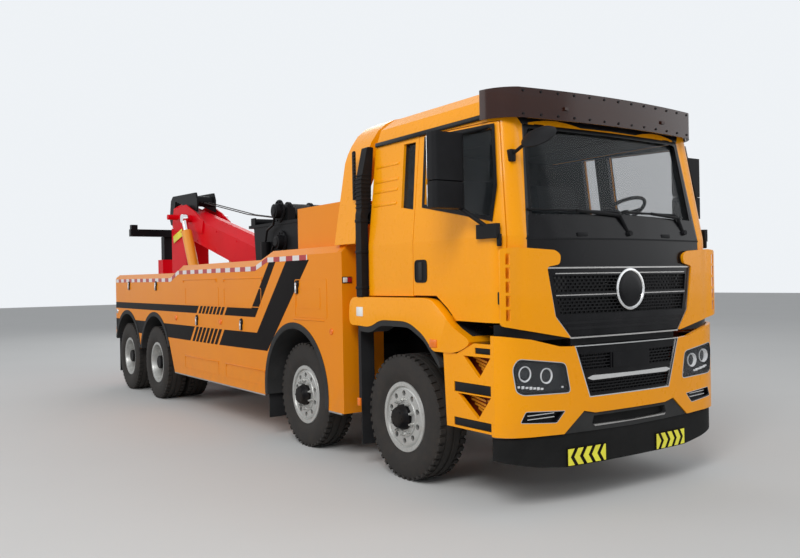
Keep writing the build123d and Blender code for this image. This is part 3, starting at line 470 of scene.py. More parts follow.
def bow(points, lean=0.0, level=0):  # station of a bowed front at a half-width and height
    def station(x, z):
        x = min(abs(x), points[-1][0])
        for (x0, s0), (x1, s1) in zip(points, points[1:]):
            if x <= x1:
                return s0 + (s1 - s0) * (x - x0) / (x1 - x0) + (z - level) * lean
    return station


def onBow(station, x, z, lift=0):
    return at(x, station(x, z) + lift, z)


def bowed(bm, loops, station, depth, lift=0, spacing=60):  # a sheet that follows a bow
    xs = [x for x, z in loops[0]]
    cuts = [(k * spacing / 1000, 0, 0) for k in range(int(min(xs) // spacing) + 1, int(max(xs) // spacing) + 1)]

    def place(co):
        return Vector((co.x, co.y + firstAxle + (station(co.x * 1000, co.z * 1000) + lift) / 1000, co.z))
    filled(bm, [[(x / 1000, 0, z / 1000) for x, z in loop] for loop in loops], (0, depth / 1000, 0), cuts, place)


def sideSheet(bm, side, loops, inner, outer):
    filled(bm, [[at(side * inner, station, z) for station, z in loop] for loop in loops],
           (side * (outer - inner) / 1000, 0, 0))


def crossSheet(bm, loops, front, rear):
    filled(bm, [[at(x, front, z) for x, z in loop] for loop in loops], (0, (rear - front) / 1000, 0))


sides = ((1, "left"), (-1, "right"))

# Wheels
wheel = {
    "tyre": [(-120, 262), (-122, 300), (-148, 338), (-152, 400), (-150, 440), (-143, 490), (-128, 516), (-66, 520),
             (-64, 533), (-14, 534), (-12, 521), (12, 521), (14, 534), (64, 533), (66, 520), (128, 516), (143, 490),
             (150, 440), (152, 400), (148, 338), (122, 300), (120, 262)],
    "frontRim": [(130, 264), (130, 297), (122, 301), (118, 272), (-118, 272), (-122, 301), (-130, 297), (-130, 264),
                 (-112, 254), (78, 254), (98, 238), (98, 230), (124, 230), (124, 240), (112, 256)],
    "frontHub": [(96, 108), (150, 108), (158, 100), (190, 90), (204, 82), (210, 62), (212, 40), (212, 0), (96, 0)],
    "rearRim": [(304, 266), (304, 297), (296, 301), (293, 273), (-293, 273), (-296, 301), (-304, 297), (-304, 266),
                (-288, 256), (288, 256)],
    "rearHub": [(-16, 128), (60, 128), (66, 118), (200, 112), (212, 100), (276, 95), (285, 84), (285, 0), (-16, 0)],
    # a disc's place, depth, outer and inner radius, hole ring and hole radius; the nuts' seat and ring; the bolts' face
    "frontDisc": (100, 24, 234, 104, 203, 24), "rearDisc": (-16, 32, 258, 124, 196, 26),
    "frontNuts": (124, 146), "rearNuts": (16, 144), "frontFace": 204, "rearFace": 276,
    "lugs": 46, "lugSize": (52, 40, 26), "lugRow": 108, "lugRadius": 519.5, "lugSlant": 0.12,
    "holes": 10, "nuts": 10, "bolts": 8, "boltRing": 70}


def makeWheel(side, word, axle):
    twin = axle >= 2
    end = "rear" if twin else "front"
    node = f"wheel{'s' if twin else ''}_{axle + 1}_{word}"
    body = f"roll_{axle + 1}_{word}"
    middle = 930 if twin else 1018
    hub = at(side * middle, axleStations[axle], tyreRadius)

    def spot(u, radius, offset=0):
        return hub + Vector((side * (u + offset) / 1000, 0, radius / 1000))

    def stud(turn, u, ring, length, radius, tip, corners=6):
        place = Matrix.Rotation(turn, 4, "X") @ Matrix.Translation((side * u / 1000, 0, ring / 1000))
        bmesh.ops.create_cone(bm, cap_ends=True, segments=corners, radius1=radius / 1000, radius2=tip / 1000,
                              depth=length / 1000,
                              matrix=Matrix.Translation(hub) @ place @ Matrix.Rotation(side * pi / 2, 4, "Y"))

    bm = bmesh.new()
    for offset in ((-175, 175) if twin else (0,)):
        spun(bm, [spot(u, r, offset) for u, r in wheel["tyre"]], hub, (1, 0, 0), 64)
        for k in range(wheel["lugs"]):
            for row in (-1, 1):
                turn = Matrix.Rotation(2 * pi * (k + row / 4) / wheel["lugs"], 4, "X")
                across = side * (offset + row * wheel["lugRow"]) / 1000
                spread = Matrix.Translation((across, 0, wheel["lugRadius"] / 1000))
                brick(bm, hub, wheel["lugSize"], turn @ spread @ Matrix.Rotation(row * wheel["lugSlant"], 4, "Z"))
    piece(f"tyres_{axle + 1}_{word}", bm, "tyre", body, [node])

    bm = bmesh.new()
    spun(bm, [spot(u, r) for u, r in wheel[end + "Rim"]], hub, (1, 0, 0), 64)
    low, deep, outer, inner, holeRing, holeRadius = wheel[end + "Disc"]

    def circle(radius, centre=(0, 0), steps=48):
        return [hub + Vector((side * low / 1000, (centre[0] + radius * cos(2 * pi * k / steps)) / 1000,
                              (centre[1] + radius * sin(2 * pi * k / steps)) / 1000)) for k in range(steps)]

    angles = [2 * pi * (k + 0.5) / wheel["holes"] for k in range(wheel["holes"])]
    holes = [circle(holeRadius, (holeRing * cos(a), holeRing * sin(a)), 16) for a in angles]
    filled(bm, [circle(outer), circle(inner)] + holes, (side * deep / 1000, 0, 0))
    seat, ring = wheel[end + "Nuts"]
    collar = ((seat - 4, ring + 28), (seat + 8, ring + 22), (seat + 8, ring - 20), (seat - 4, ring - 26))
    spun(bm, [spot(u, r) for u, r in collar], hub, (1, 0, 0), 48)
    for k in range(wheel["nuts"]):
        turn = 2 * pi * k / wheel["nuts"]
        stud(turn, seat + 20, ring, 26, 16, 16 / 1.1)
        stud(turn, seat + 38, ring, 22, 9, 9 / 1.1, 10)
    piece(f"rims_{axle + 1}_{word}", bm, "silver", body, [node])

    bm = bmesh.new()
    spun(bm, [spot(u, r) for u, r in wheel[end + "Hub"]], hub, (1, 0, 0), 40, closed=False)
    for k in range(wheel["bolts"]):
        stud(2 * pi * k / wheel["bolts"], wheel[end + "Face"], wheel["boltRing"], 16, 9, 8)
    piece(f"hub_{axle + 1}_{word}", bm, "black", body, [node])


for axle in range(4):
    for side, word in sides:
        makeWheel(side, word, axle)
print("wheels made")

# Fixed body: sides with the wheel arches, panel beads, gutters, films and lamps
fixedBody = {
    "inner": 820, "archHeight": 572, "archRadius": 712, "lip": 62, "shoulder": 70,
    "panels": [(1091, 1760, 1344, 1726), (1225, 1735, 1432, 1638), (2580, 3655, 1420, 1640), (3830, 5020, 1420, 1650),
               (2505, 3635, 560, 716), (3855, 5060, 560, 716)],
    "gutters": [(2553, 3669, 1752), (3893, 5109, 1752), (2505, 3635, 730), (3855, 5060, 730)],
    "archLips": ((1, -8, 188), (2, 12, 160), (3, 20, 168)),  # axle, first and last angle in degrees
    "slitRows": ((4512, 123, 1311, 1409), (4711, 131, 940, 1135)), "slits": 8, "slitWidth": 44, "slitLean": 0.85,
    "tape": [(8400, 1762), (5615, 1755), (5300, 1853), (2740, 1855), (2420, 1944), (1480, 1944)], "tapeHeight": 52,
    "amberLamps": (5396, 3773), "latches": ((4580, 1222), (3134, 1219), (7637, 1680), (6260, 1675), (1706, 1650))}


def arc(centre, height, radius, first, last, steps=20):
    return [(centre + radius * cos(radians(first + (last - first) * k / steps)),
             height + radius * sin(radians(first + (last - first) * k / steps))) for k in range(steps + 1)]


def archEdge(axle, first, last):
    return arc(axleStations[axle], fixedBody["archHeight"], fixedBody["archRadius"], first, last)


bodyOutline = ([(800, 470)] + archEdge(1, 188.24, -8.24) + [(5492, 470), (5735, 915), (5738, 884)]
               + archEdge(2, 153.5, 10.53) + archEdge(3, 169.47, 26.2)[1:] + [(8430, 890), (8430, 1860), (5588, 1850),
               (5270, 1950), (2715, 1952), (2397, 2040), (800, 2040)])


def besideStripe(axle, first, last):  # the arch's edge at the height of the lower stripe
    return [point for point in archEdge(axle, first, last) if 940 <= point[1] <= 1135]


stripeFilms = [
    [(4602, 1311), (8428, 1311), (8428, 1409), (4514, 1409)],
    [(2750, 1311), (3649, 1311), (3561, 1409), (2847, 1409), (2342, 1945), (2184, 1940)],
    [(4849, 940), (5765, 940)] + besideStripe(2, 153.5, 90) + [(5939, 1135), (4673, 1135)],
    [(2443, 952), (3832, 940), (3656, 1135), (2707, 1139), (1937, 1933), (1442, 1919)],
    [(6811, 1135)] + besideStripe(2, 90, 10.53) + [(6984, 940), (7166, 940)] + besideStripe(3, 169.47, 90)
    + [(7339, 1135)],
    [(8211, 1135), (8384, 940), (8428, 940), (8428, 1135)]]
for first, pitch, low, high in fixedBody["slitRows"]:
    rise = (high - low) * fixedBody["slitLean"] / 2
    for k in range(fixedBody["slits"] - 1):
        rear = first - k * pitch - fixedBody["slitWidth"] / 2
        ahead = first - (k + 1) * pitch + fixedBody["slitWidth"] / 2
        stripeFilms.append([(rear + rise, low), (rear - rise, high), (ahead - rise, high), (ahead + rise, low)])


def makeBodySide(side, word):
    bm = bmesh.new()
    sideSheet(bm, side, [bodyOutline], fixedBody["inner"], bodyHalf)
    bmesh.ops.remove_doubles(bm, verts=bm.verts, dist=0.00001)
    shoulder = [edge for edge in outlineEdges(bm, bodyHalf, 1845) if edge.calc_length() > 0.2]
    rounded(bm, shoulder, fixedBody["shoulder"], 1)
    piece(f"bodySide_{word}", bm, "body", "chassis", [f"body_side_{word}"], 15)

    bm = bmesh.new()
    for front, rear, low, high in fixedBody["panels"]:
        outline = softened(box2(front, rear, low, high), 25)
        sideSheet(bm, side, [outline, drawnIn(outline, 9)], bodyHalf - 4, bodyHalf + 3)
    for front, rear, height in fixedBody["gutters"]:
        brick(bm, at(side * (bodyHalf + 1), (front + rear) / 2, height), (12, rear - front, 14), soft=3)
        for end in (front + 15, rear - 15):
            rod(bm, at(side * (bodyHalf - 4), end, height - 24), at(side * (bodyHalf + 8), end, height - 24), 13)
    brick(bm, at(side * (bodyHalf + 1), 1470, 1322), (12, 640, 12), soft=3)
    piece(f"panelBeads_{word}", bm, "body", "chassis", crease=50)

    bm = bmesh.new()
    for film in stripeFilms:
        sideSheet(bm, side, [film], bodyHalf, bodyHalf + 1.5)
    piece(f"stripes_{word}", bm, "stripe")

    bm = bmesh.new()
    line, tall = fixedBody["tape"], fixedBody["tapeHeight"] / 2
    for (rear, z0), (ahead, z1) in zip(line, line[1:]):
        strip = [(rear, z0 - tall), (ahead, z1 - tall), (ahead, z1 + tall), (rear, z0 + tall)]
        sideSheet(bm, side, [strip], bodyHalf, bodyHalf + 2.5)
    piece(f"markingTape_{word}", bm, "tape")

    bm = bmesh.new()
    inner, outer = fixedBody["archRadius"] - fixedBody["lip"], fixedBody["archRadius"] + 2
    profile = [(-452, inner), (6, inner), (8, inner + 6), (8, outer - 8), (5, outer), (-452, outer)]
    for axle, first, last in fixedBody["archLips"]:
        start = radians(last)
        centre = at(side * bodyHalf, axleStations[axle], fixedBody["archHeight"])
        points = [centre + Vector((side * u / 1000, r / 1000 * cos(start), r / 1000 * sin(start))) for u, r in profile]
        spun(bm, points, centre, (-1, 0, 0), 40, angle=radians(last - first))
    piece(f"archLips_{word}", bm, "lip")

    bm = bmesh.new()
    for station in fixedBody["amberLamps"]:
        for radius, low, high in ((40, -2, 8), (30, 8, 16)):
            sideRod(bm, side, low, high, station, 1228, radius, tip=radius - 5)
    sideRod(bm, side, 0, 10, 1010, 1224, 32, tip=27)
    piece(f"sideMarkers_{word}", bm, "amber")

    bm, dark = bmesh.new(), bmesh.new()
    for station, z in fixedBody["latches"]:
        sideRod(dark, side, -2, 12, station, z + 28, 42, tip=38)
        brick(dark, at(side * (bodyHalf + 8), station, z - 14), (22, 46, 110), soft=6)
        sideRod(bm, side, 8, 24, station, z + 28, 20, 16, 17)
        brick(bm, at(side * (bodyHalf + 20), station, z - 26), (12, 30, 76), soft=4)
    sideRod(bm, side, 0, 12, 8350, 1255, 40, tip=34)
    piece(f"latchHandles_{word}", bm, "chrome")
    piece(f"latchPlates_{word}", dark, "plastic")

    bm = bmesh.new()
    brick(bm, at(side * (bodyHalf - 8), 4000, 462), (26, 2960, 16), soft=3)
    brick(bm, at(side * (bodyHalf - 8), 960, 462), (26, 250, 16), soft=3)
    piece(f"sillStrip_{word}", bm, "steel")
    bm = bmesh.new()
    brick(bm, at(side * 1010, 2500, 425), (440, 16, 420), soft=4)
    piece(f"mudFlap_{word}", bm, "sheet")


for side, word in sides:
    makeBodySide(side, word)
tailLamps = {"amber": (1120, 100), "redLens": (1005, 110), "white": (890, 90)}
for finish, (middle, width) in tailLamps.items():
    bm = bmesh.new()
    for side, word in sides:
        brick(bm, at(side * middle, 8484, 925), (width, 14, 96), soft=6)
    piece(f"tailLamps_{finish}", bm, finish)
bm = bmesh.new()
brick(bm, at(0, 8466, 690), (2200, 3, 60))
piece("tailTape", bm, "tape")
bm = bmesh.new()
for side, word in sides:
    outline = [(side * x, z) for x, z in softened([(775, 868), (1255, 868), (1255, 982), (775, 982)], 16)]
    crossSheet(bm, [outline, drawnIn(outline, 10)], 8476, 8496)
    for middle in (940, 1062, 1180):
        brick(bm, at(side * middle, 8486, 925), (8, 20, 96))
    brick(bm, at(side * 1240, 8425, 1100), (14, 40, 300), soft=4)
piece("tailLampFrames", bm, "plastic")
print("fixed body dressed")

# Portal behind the cab, its duct and lamps
portal = {"front": 580, "rear": 950,
          "outline": [(0, 3230), (700, 3226), (800, 3202), (891, 3158), (980, 3085), (1050, 2985), (1095, 2900),
                      (1126, 2815), (1188, 2450), (1225, 2230), (1255, 2040),
                      (1110, 2040), (1110, 2480), (1020, 2680), (960, 2900), (900, 3040), (800, 3090), (0, 3090)]}
bm = bmesh.new()
crossSheet(bm, [mirrored(portal["outline"])], portal["front"], portal["rear"])
piece("portal", bm, "cab", "chassis", ["cab_fairing"], 25)
bm = bmesh.new()
for side, word in sides:
    for k in range(14):
        brick(bm, at(side * 1222, 627, 2460 + 32 * k), (14, 24, 16), soft=3)
    brick(bm, at(side * 1214, 640, 2660), (8, 60, 440), soft=3)
    brick(bm, at(side * 1215, 798, 1712), (104, 12, 60), soft=4)
piece("portalStrips", bm, "plastic")
bm, pale = bmesh.new(), bmesh.new()
for side, word in sides:
    brick(bm, at(side * 1192, 790, 1712), (44, 12, 46), soft=4)
    brick(pale, at(side * 1239, 790, 1712), (44, 12, 46), soft=4)
piece("frontMarkers", bm, "redLens")
piece("frontPositionLamps", pale, "white")
bm = bmesh.new()
duct = [(-1258, 1556), (-1258, 2300), (-1248, 2330), (-1248, 2600), (-1178, 2905), (-1112, 2905), (-1142, 2560),
        (-1150, 2330), (-1184, 2290), (-1184, 1556)]
crossSheet(bm, [softened(duct, 14)], 466, 560)
for k in range(9):
    lean = max(0, 2360 + 36 * k - 2600) * 0.23
    brick(bm, at(-1200 + lean, 512, 2360 + 36 * k), (112, 104, 14), soft=5)
for z in (1640, 1960, 2240):
    brick(bm, at(-1221, 512, z), (90, 104, 30), soft=6)
rod(bm, at(-1040, 512, 2300), at(-1150, 512, 2300), 90, 28)
piece("airDuct", bm, "plastic", "chassis", ["air_intake"])
print("portal made")

# Cab steps: treads are front, rear, low and high; wells are corners at the front, the rear and the tip
cabSteps = {
    "outline": [(-690, 1137), (-857, 1137), (-1063, 1225), (-1283, 1225), (-1283, 575), (-723, 575)],
    "lining": [(-1270, 592), (-745, 592), (-715, 1130), (-868, 1130), (-1010, 1195), (-1270, 1195)],
    "treads": [(-1250, -1075, 1150, 1195), (-1250, -822, 850, 925), (-1250, -814, 592, 655)],
    "wells": [[(-1250, 1128), (-938, 1128), (-1122, 971)], [(-1250, 840), (-864, 840), (-1103, 667)]]}
for side, word in sides:
    bm = bmesh.new()
    openings = [box2(front, rear, low, high) for front, rear, low, high in cabSteps["treads"]] + cabSteps["wells"]
    sideSheet(bm, side, [cabSteps["outline"]] + openings, 1205, 1235)
    sideSheet(bm, side, [[(-690, 1137), (-723, 575), (-737, 575), (-704, 1137)]], 1041, 1210)
    piece(f"stepPanel_{word}", bm, "cab", "chassis", ["cab_steps"])
    bm = bmesh.new()
    # the wells' back wall: orange plastic given a dark brown, painted shade of the recess
    sideSheet(bm, side, [cabSteps["lining"]], 1118, 1132)
    piece(f"stepWells_{word}", bm, "stepWellShade", "chassis", ["cab_steps"])
    bm = bmesh.new()
    for front, rear, low, high in cabSteps["treads"]:
        size = (114, rear - front - 4, high - low - 4)
        brick(bm, at(side * 1175, (front + rear) / 2, (low + high) / 2), size, soft=5)
    piece(f"stepTreads_{word}", bm, "plastic", "chassis", ["cab_steps"])
    bm = bmesh.new()
    for (front, top), (rear, _), (tip, low) in cabSteps["wells"]:
        for k in range(5):
            z = top - 6 - k * (top - low) / 5.6
            reach = (z - low) / (top - low)
            for end in (tip + (front - tip) * reach, tip + (rear - tip) * reach):
                run = (end - tip) * 0.96
                near, far = tip + run * 0.06, tip + run
                sideSheet(bm, side, [[(near, z - 50), (far, z - 16), (far, z), (near, z - 34)]], 1131, 1150)
    piece(f"stepRibs_{word}", bm, "orange")
print("steps made")

# Fenders
fender = {"top": [(720, 1556), (-440, 1556), (-560, 1540), (-690, 1448), (-810, 1340), (-1063, 1231)],
          "arch": [(-640, 1137), (-564, 1137), (-439, 1260), (-226, 1361), (201, 1361), (371, 1290), (560, 1300)]}
bm, edge, note, skin = bmesh.new(), bmesh.new(), bmesh.new(), bmesh.new()
for side, word in sides:
    brick(bm, at(side * 1246, -575, 1198), (12, 96, 62), soft=5)
    brick(bm, at(side * 1244, 566, 610), (16, 50, 70), soft=4)
    brick(note, at(side * 1246, 534, 1425), (3, 110, 84), soft=1)
    outline = softened(fender["top"] + [(-857, 1137)] + fender["arch"] + [(720, 1300)], 130, 6)
    half = bmesh.new()
    sideSheet(half, side, [outline], 900, 1245)
    rounded(half, [line for line in outlineEdges(half, 1245, 1400) if line.is_manifold], 30, 3, clamp=True)
    poured(skin, half)
    arch = fender["arch"][1:]
    lip = [(s, z + 10) for s, z in arch] + [(s, z - 50) for s, z in reversed(arch)] + [(-650, 1000), (-640, 1060)]
    sideSheet(edge, side, [softened(lip, 60, 4)], 1060, 1240)
piece("fenders", skin, "cab", "chassis", ["front_fenders"])
piece("fenderMarkers", bm, "amber")
piece("fenderNotes", note, "white")
piece("fenderLips", edge, "lip")

# Bumper, lamps, grilles and apron
bumperBow = bow([(0, -1493), (250, -1489), (500, -1477), (750, -1457.5), (1000, -1430), (1060, -1417), (1110, -1402),
                 (1150, -1385), (1180, -1367), (1205, -1345), (1225, -1318), (1238, -1290)])
nose = {
    "bumper": [(0, 680), (407, 680), (519, 703), (715, 550), (1238, 562), (1238, 1290), (1211, 1288), (1000, 1258),
               (740, 1195), (600, 1188), (585, 1160), (459, 803), (0, 803)],
    "lamp": [(644, 847), (690, 1075), (1110, 1127), (1152, 1060), (1127, 885), (1076, 858)],
    "fog": [(698, 723), (1056, 744), (1100, 661), (783, 637)],
    "reflectors": [(1035, 1009, 58), (846, 985, 58)]}
lamps = [onSide(side, softened(nose["lamp"], 40)) for side in (1, -1)]
fogs = [onSide(side, softened(nose["fog"], 16)) for side in (1, -1)]
bm = bmesh.new()
bowed(bm, [mirrored(nose["bumper"])] + lamps + fogs, bumperBow, 34, spacing=40)
piece("bumperSkin", bm, "cab", "chassis", ["bumper"], 24)
bm = bmesh.new()
for lamp in lamps:
    bowed(bm, [drawnIn(lamp, -8)], bumperBow, 12, 40)
    bowed(bm, [drawnIn(lamp, 1), drawnIn(lamp, 22)], bumperBow, 38, 6)
for fog in fogs:
    bowed(bm, [drawnIn(fog, -6)], bumperBow, 10, 34)
    bowed(bm, [drawnIn(fog, 1), drawnIn(fog, 12)], bumperBow, 28, 6)
piece("lampHousings", bm, "gloss", "chassis", ["headlamps"])
bm = bmesh.new()
for lamp in lamps:
    bowed(bm, [lamp, drawnIn(lamp, 6)], bumperBow, 20, -2)
for fog in fogs:
    bowed(bm, [fog, drawnIn(fog, 4)], bumperBow, 16, -1)
    middle = sum(x for x, z in fog) / len(fog)
    left, right = middle - 115, middle + 125
    for z in (676, 704):
        bowed(bm, [[(left, z), (right, z + 4), (right, z + 10), (left, z + 6)]], bumperBow, 10, 24)
piece("lampEdges", bm, "chrome")
bm, bulbs = bmesh.new(), bmesh.new()
for side, word in sides:
    for x, z, radius in nose["reflectors"]:
        centre = onBow(bumperBow, side * x, z, 34)
        bowl = [(0, radius), (-10, radius), (-10, radius - 5), (4, radius - 9), (18, radius * 0.55), (20, 0)]
        lathe(bm, centre, bowl, 40)
        lathe(bulbs, centre, [(22, 27), (0, 30), (-10, 26), (-17, 15), (-20, 0)], 28)
    for k in range(7):
        brick(bm, onBow(bumperBow, side * (1085 - k * 33), 918 - k * 4.2, 30), (24, 10, 16 + 6 * (k % 2)), soft=3)
    brick(bm, onBow(bumperBow, side * 700, 893, 28), (18, 10, 14), soft=3)
piece("lampReflectors", bm, "bright")
piece("lampProjectors", bulbs, "lens")
bm = bmesh.new()
for lamp in lamps:
    bowed(bm, [drawnIn(lamp, 8)], bumperBow, 4, 3)
piece("lampCovers", bm, "lens")


def meshRows(bm, left, right, low, high, station, lift, pitch=46, row=24):
    count = round((high - low) / row)
    tall = (high - low) / count
    for r in range(count + 1):
        z = low + r * (high - low) / count
        bowed(bm, [box2(left, right, z - 4, z + 4)], station, 12, lift, 150)
        for k in range(int((right - left) / pitch) if r < count else 0):
            x = left + (k + (0.25 if r % 2 else 0.75)) * pitch
            brick(bm, onBow(station, x, z + tall / 2, lift + 8), (7, 10, tall))


bm = bmesh.new()
lower = mirrored([(0, 803), (459, 803), (585, 1160), (600, 1188), (0, 1188)])
openings = [mirrored([(0, 824), (440, 824), (474, 920), (0, 920)])]
for side in (1, -1):
    openings.append([(side * 226, 1002), (side * 506, 1002), (side * 548, 1126), (side * 226, 1126)])
bowed(bm, [lower] + openings, bumperBow, 20, 10)
bowed(bm, [box2(-205, 205, 1005, 1122)], bumperBow, 12, 2)
bowed(bm, [drawnIn(lower, 12)], bumperBow, 6, 44)
crossSheet(bm, [box2(-600, 600, 1176, 1240)], -1425, -1330)
piece("lowerGrille", bm, "gloss", "chassis", ["lower_grille"])
bm = bmesh.new()
meshRows(bm, -458, 458, 826, 918, bumperBow, 16)
for side in (1, -1):
    meshRows(bm, min(side * 228, side * 524), max(side * 228, side * 524), 1004, 1124, bumperBow, 16)
piece("lowerGrilleMesh", bm, "plastic")
bm = bmesh.new()
ringOut = mirrored([(0, 799), (462, 799), (590, 1160), (604, 1192), (0, 1192)])
bowed(bm, [ringOut, drawnIn(ringOut, 8)], bumperBow, 22, -1)
bowed(bm, [softened(mirrored([(0, 958), (430, 962), (486, 944), (430, 926), (0, 930)]), 12)], bumperBow, 20, -1)
piece("lowerGrilleTrim", bm, "chrome")

apronBow = bow([(0, -1478), (250, -1474), (500, -1463), (750, -1444), (985, -1418), (1050, -1405), (1110, -1386),
                (1150, -1366), (1185, -1338), (1205, -1312), (1216, -1285)])
slot = mirrored([(0, 585), (400, 585), (430, 600), (412, 655), (0, 655)])
bm = bmesh.new()
apronTop = [(0, 540), (712, 548), (517, 698), (405, 676), (0, 676)]
bowed(bm, [mirrored(apronTop), slot], apronBow, 50, -4)
piece("apronLip", bm, "lip", "chassis", ["front_apron"])
bm = bmesh.new()
skirt = mirrored([(0, 300), (700, 300), (937, 328), (1216, 383), (1216, 546), (0, 546)])
bowed(bm, [skirt], apronBow, 44, 4, spacing=40)
bowed(bm, [drawnIn(slot, -8)], apronBow, 10, 34)
piece("apronSkirt", bm, "skirt", "chassis", ["front_apron"])
bm = bmesh.new()
bowed(bm, [mirrored([(0, 576), (405, 576), (420, 590), (0, 584)])], apronBow, 30, -8)
piece("apronStep", bm, "steel")
bm, marks = bmesh.new(), bmesh.new()
for side, word in sides:
    plate = box2(side * 291, side * 683, 302, 438)
    bowed(marks, [plate], apronBow, 12, -6)
    bowed(bm, [drawnIn(plate, 7)], apronBow, 4, -9)
    for k in range(4):
        x = 345 + k * 88
        arrow = [(x - 28, 432), (x + 4, 432), (x + 44, 370), (x + 4, 308), (x - 28, 308), (x + 12, 370)]
        bowed(marks, [[(side * px, pz) for px, pz in arrow]], apronBow, 4, -10.5)
piece("markerPlates", bm, "yellow")
piece("markerChevrons", marks, "stripe")
print("front end made")

# Cab front
cabBow = bow([(0, -1460), (250, -1456), (500, -1444), (750, -1424.5), (990, -1396), (1060, -1380), (1132, -1350),
              (1180, -1290), (1195, -1213)], 12 / 765, 1375)
upper = mirrored([(0, 1245), (623, 1245), (768, 1412), (835, 1779), (0, 1779)])
bands = [mirrored([(0, 1588), (748, 1588), (770, 1716), (0, 1716)]),
         mirrored([(0, 1424), (706, 1424), (738, 1552), (0, 1552)])]
bm = bmesh.new()
bowed(bm, [drawnIn(upper, 12)], cabBow, 6, 40)
bowed(bm, [upper] + bands, cabBow, 18, -8)
# a black sheet across the slot over the bumper: partly the black valance, partly painted shade in the gap behind the
# slot
bowed(bm, [box2(-1188, 1188, 1246, 1366)], cabBow, 14, -2)
bowed(bm, [box2(-838, 838, 1776, 1800)], cabBow, 10, -8)
piece("upperGrille", bm, "gloss", "cab", ["upper_grille"])
bm = bmesh.new()
meshRows(bm, -750, 750, 1590, 1714, cabBow, 2)
meshRows(bm, -715, 715, 1426, 1550, cabBow, 2)
piece("upperGrilleMesh", bm, "plastic", "cab")
bm = bmesh.new()
badge = at(30, -1458, 1604)
lathe(bm, badge, [(-12, 164), (-17, 158), (-17, 146), (-10, 140), (10, 140), (10, 164)], 56, closed=True)
piece("badgeRing", bm, "chrome", "cab")
bm = bmesh.new()
lathe(bm, badge, [(8, 142), (-8, 142), (-12, 128), (-14, 90), (-15, 0)], 56)
piece("badgeBlank", bm, "gloss", "cab")
bm = bmesh.new()
bowed(bm, [upper, drawnIn(upper, 11)], cabBow, 30, -14)
for z in (1566, 1728):
    bowed(bm, [mirrored([(0, z), (748, z), (748, z + 7), (0, z + 7)])], cabBow, 14, -11)
piece("upperGrilleTrim", bm, "steel", "cab")
bm = bmesh.new()
bowed(bm, [mirrored([(0, 1245), (618, 1245), (618, 1265), (0, 1265)])], cabBow, 30, -8)
bowed(bm, [mirrored([(0, 1310), (640, 1310), (655, 1330), (0, 1330)])], cabBow, 20, -12)
bowed(bm, [mirrored([(0, 1352), (690, 1352), (702, 1372), (0, 1372)])], cabBow, 20, -12)
piece("grilleRibs", bm, "plastic", "cab")

deflectorBow = bow([(0, -1484), (250, -1480), (500, -1468), (750, -1448), (1000, -1420), (1080, -1404), (1180, -1400),
                    (1240, -1374)])
bm = bmesh.new()
for side, word in sides:
    skin = [(625, 1250), (770, 1412), (838, 1782), (720, 1800), (709, 1870), (760, 1905), (1100, 1925), (1238, 1915),
            (1238, 1362)]
    slots = [box2(side * 1166, side * 1202, 1640 + (k - 2) * 100 - 39, 1640 + (k - 2) * 100 + 39) for k in range(5)]
    bowed(bm, [[(side * x, z) for x, z in softened(skin, 26)]] + slots, deflectorBow, 12, spacing=40)
    core = [(632, 1256), (776, 1412), (843, 1776), (729, 1805), (718, 1868), (764, 1897), (1070, 1915), (1070, 1336)]
    bowed(bm, [[(side * x, z) for x, z in softened(core, 20)]], deflectorBow, 34, 10, spacing=40)
piece("cornerDeflectors", bm, "cab", "cab", crease=24)

screenBow = bow([(0, -1446), (250, -1442), (500, -1430), (750, -1411), (960, -1386), (1000, -1378)], 150 / 890, 2010)
bm = bmesh.new()
bowed(bm, [mirrored([(0, 1994), (1000, 1994), (965, 2060), (950, 2165), (0, 2190)])], screenBow, 14, -6)
glassEdge = [(962, 2026), (892, 2856), (-892, 2856), (-962, 2026)]
bowed(bm, [softened(glassEdge, 50), softened(drawnIn(glassEdge, 36), 30)], screenBow, 8, -4)
piece("screenCowl", bm, "gloss", "cab")
bm = bmesh.new()
for outer, inner, pivotX, pivotZ in ((-960, -60, 47, 2040), (-10, 690, 780, 2060)):
    blade = [at(x, screenBow(x, 2205) - 16, 2205) for x in (outer, (outer + inner) / 2, inner)]
    pipe(bm, blade, 9, 8)
    pipe(bm, [at(pivotX, screenBow(pivotX, pivotZ) - 6, pivotZ), at(inner + 10, screenBow(inner, 2180) - 26, 2180),
              at((outer + inner) / 2, screenBow((outer + inner) / 2, 2205) - 26, 2205)], 13, 8)
    rod(bm, onBow(screenBow, pivotX, pivotZ, 10), onBow(screenBow, pivotX, pivotZ, -30), 26, 16, 20)
for x in (-464, 505):
    brick(bm, at(x, screenBow(x, 2024) - 6, 2024), (110, 14, 30), soft=5)
bowed(bm, [mirrored([(0, 1988), (1000, 1984), (1000, 1996), (0, 2000)])], cabBow, 12, -5)
piece("wipers", bm, "plastic", "cab")

# Black drip rail over the screen, whose band across the screen top is partly the black border on the glass and partly
# painted shade under the visor, and the fixings on the visor
railBow = bow([(0, -1300), (300, -1292), (600, -1268), (930, -1245), (1040, -1170), (1105, -1085)])
bm = bmesh.new()
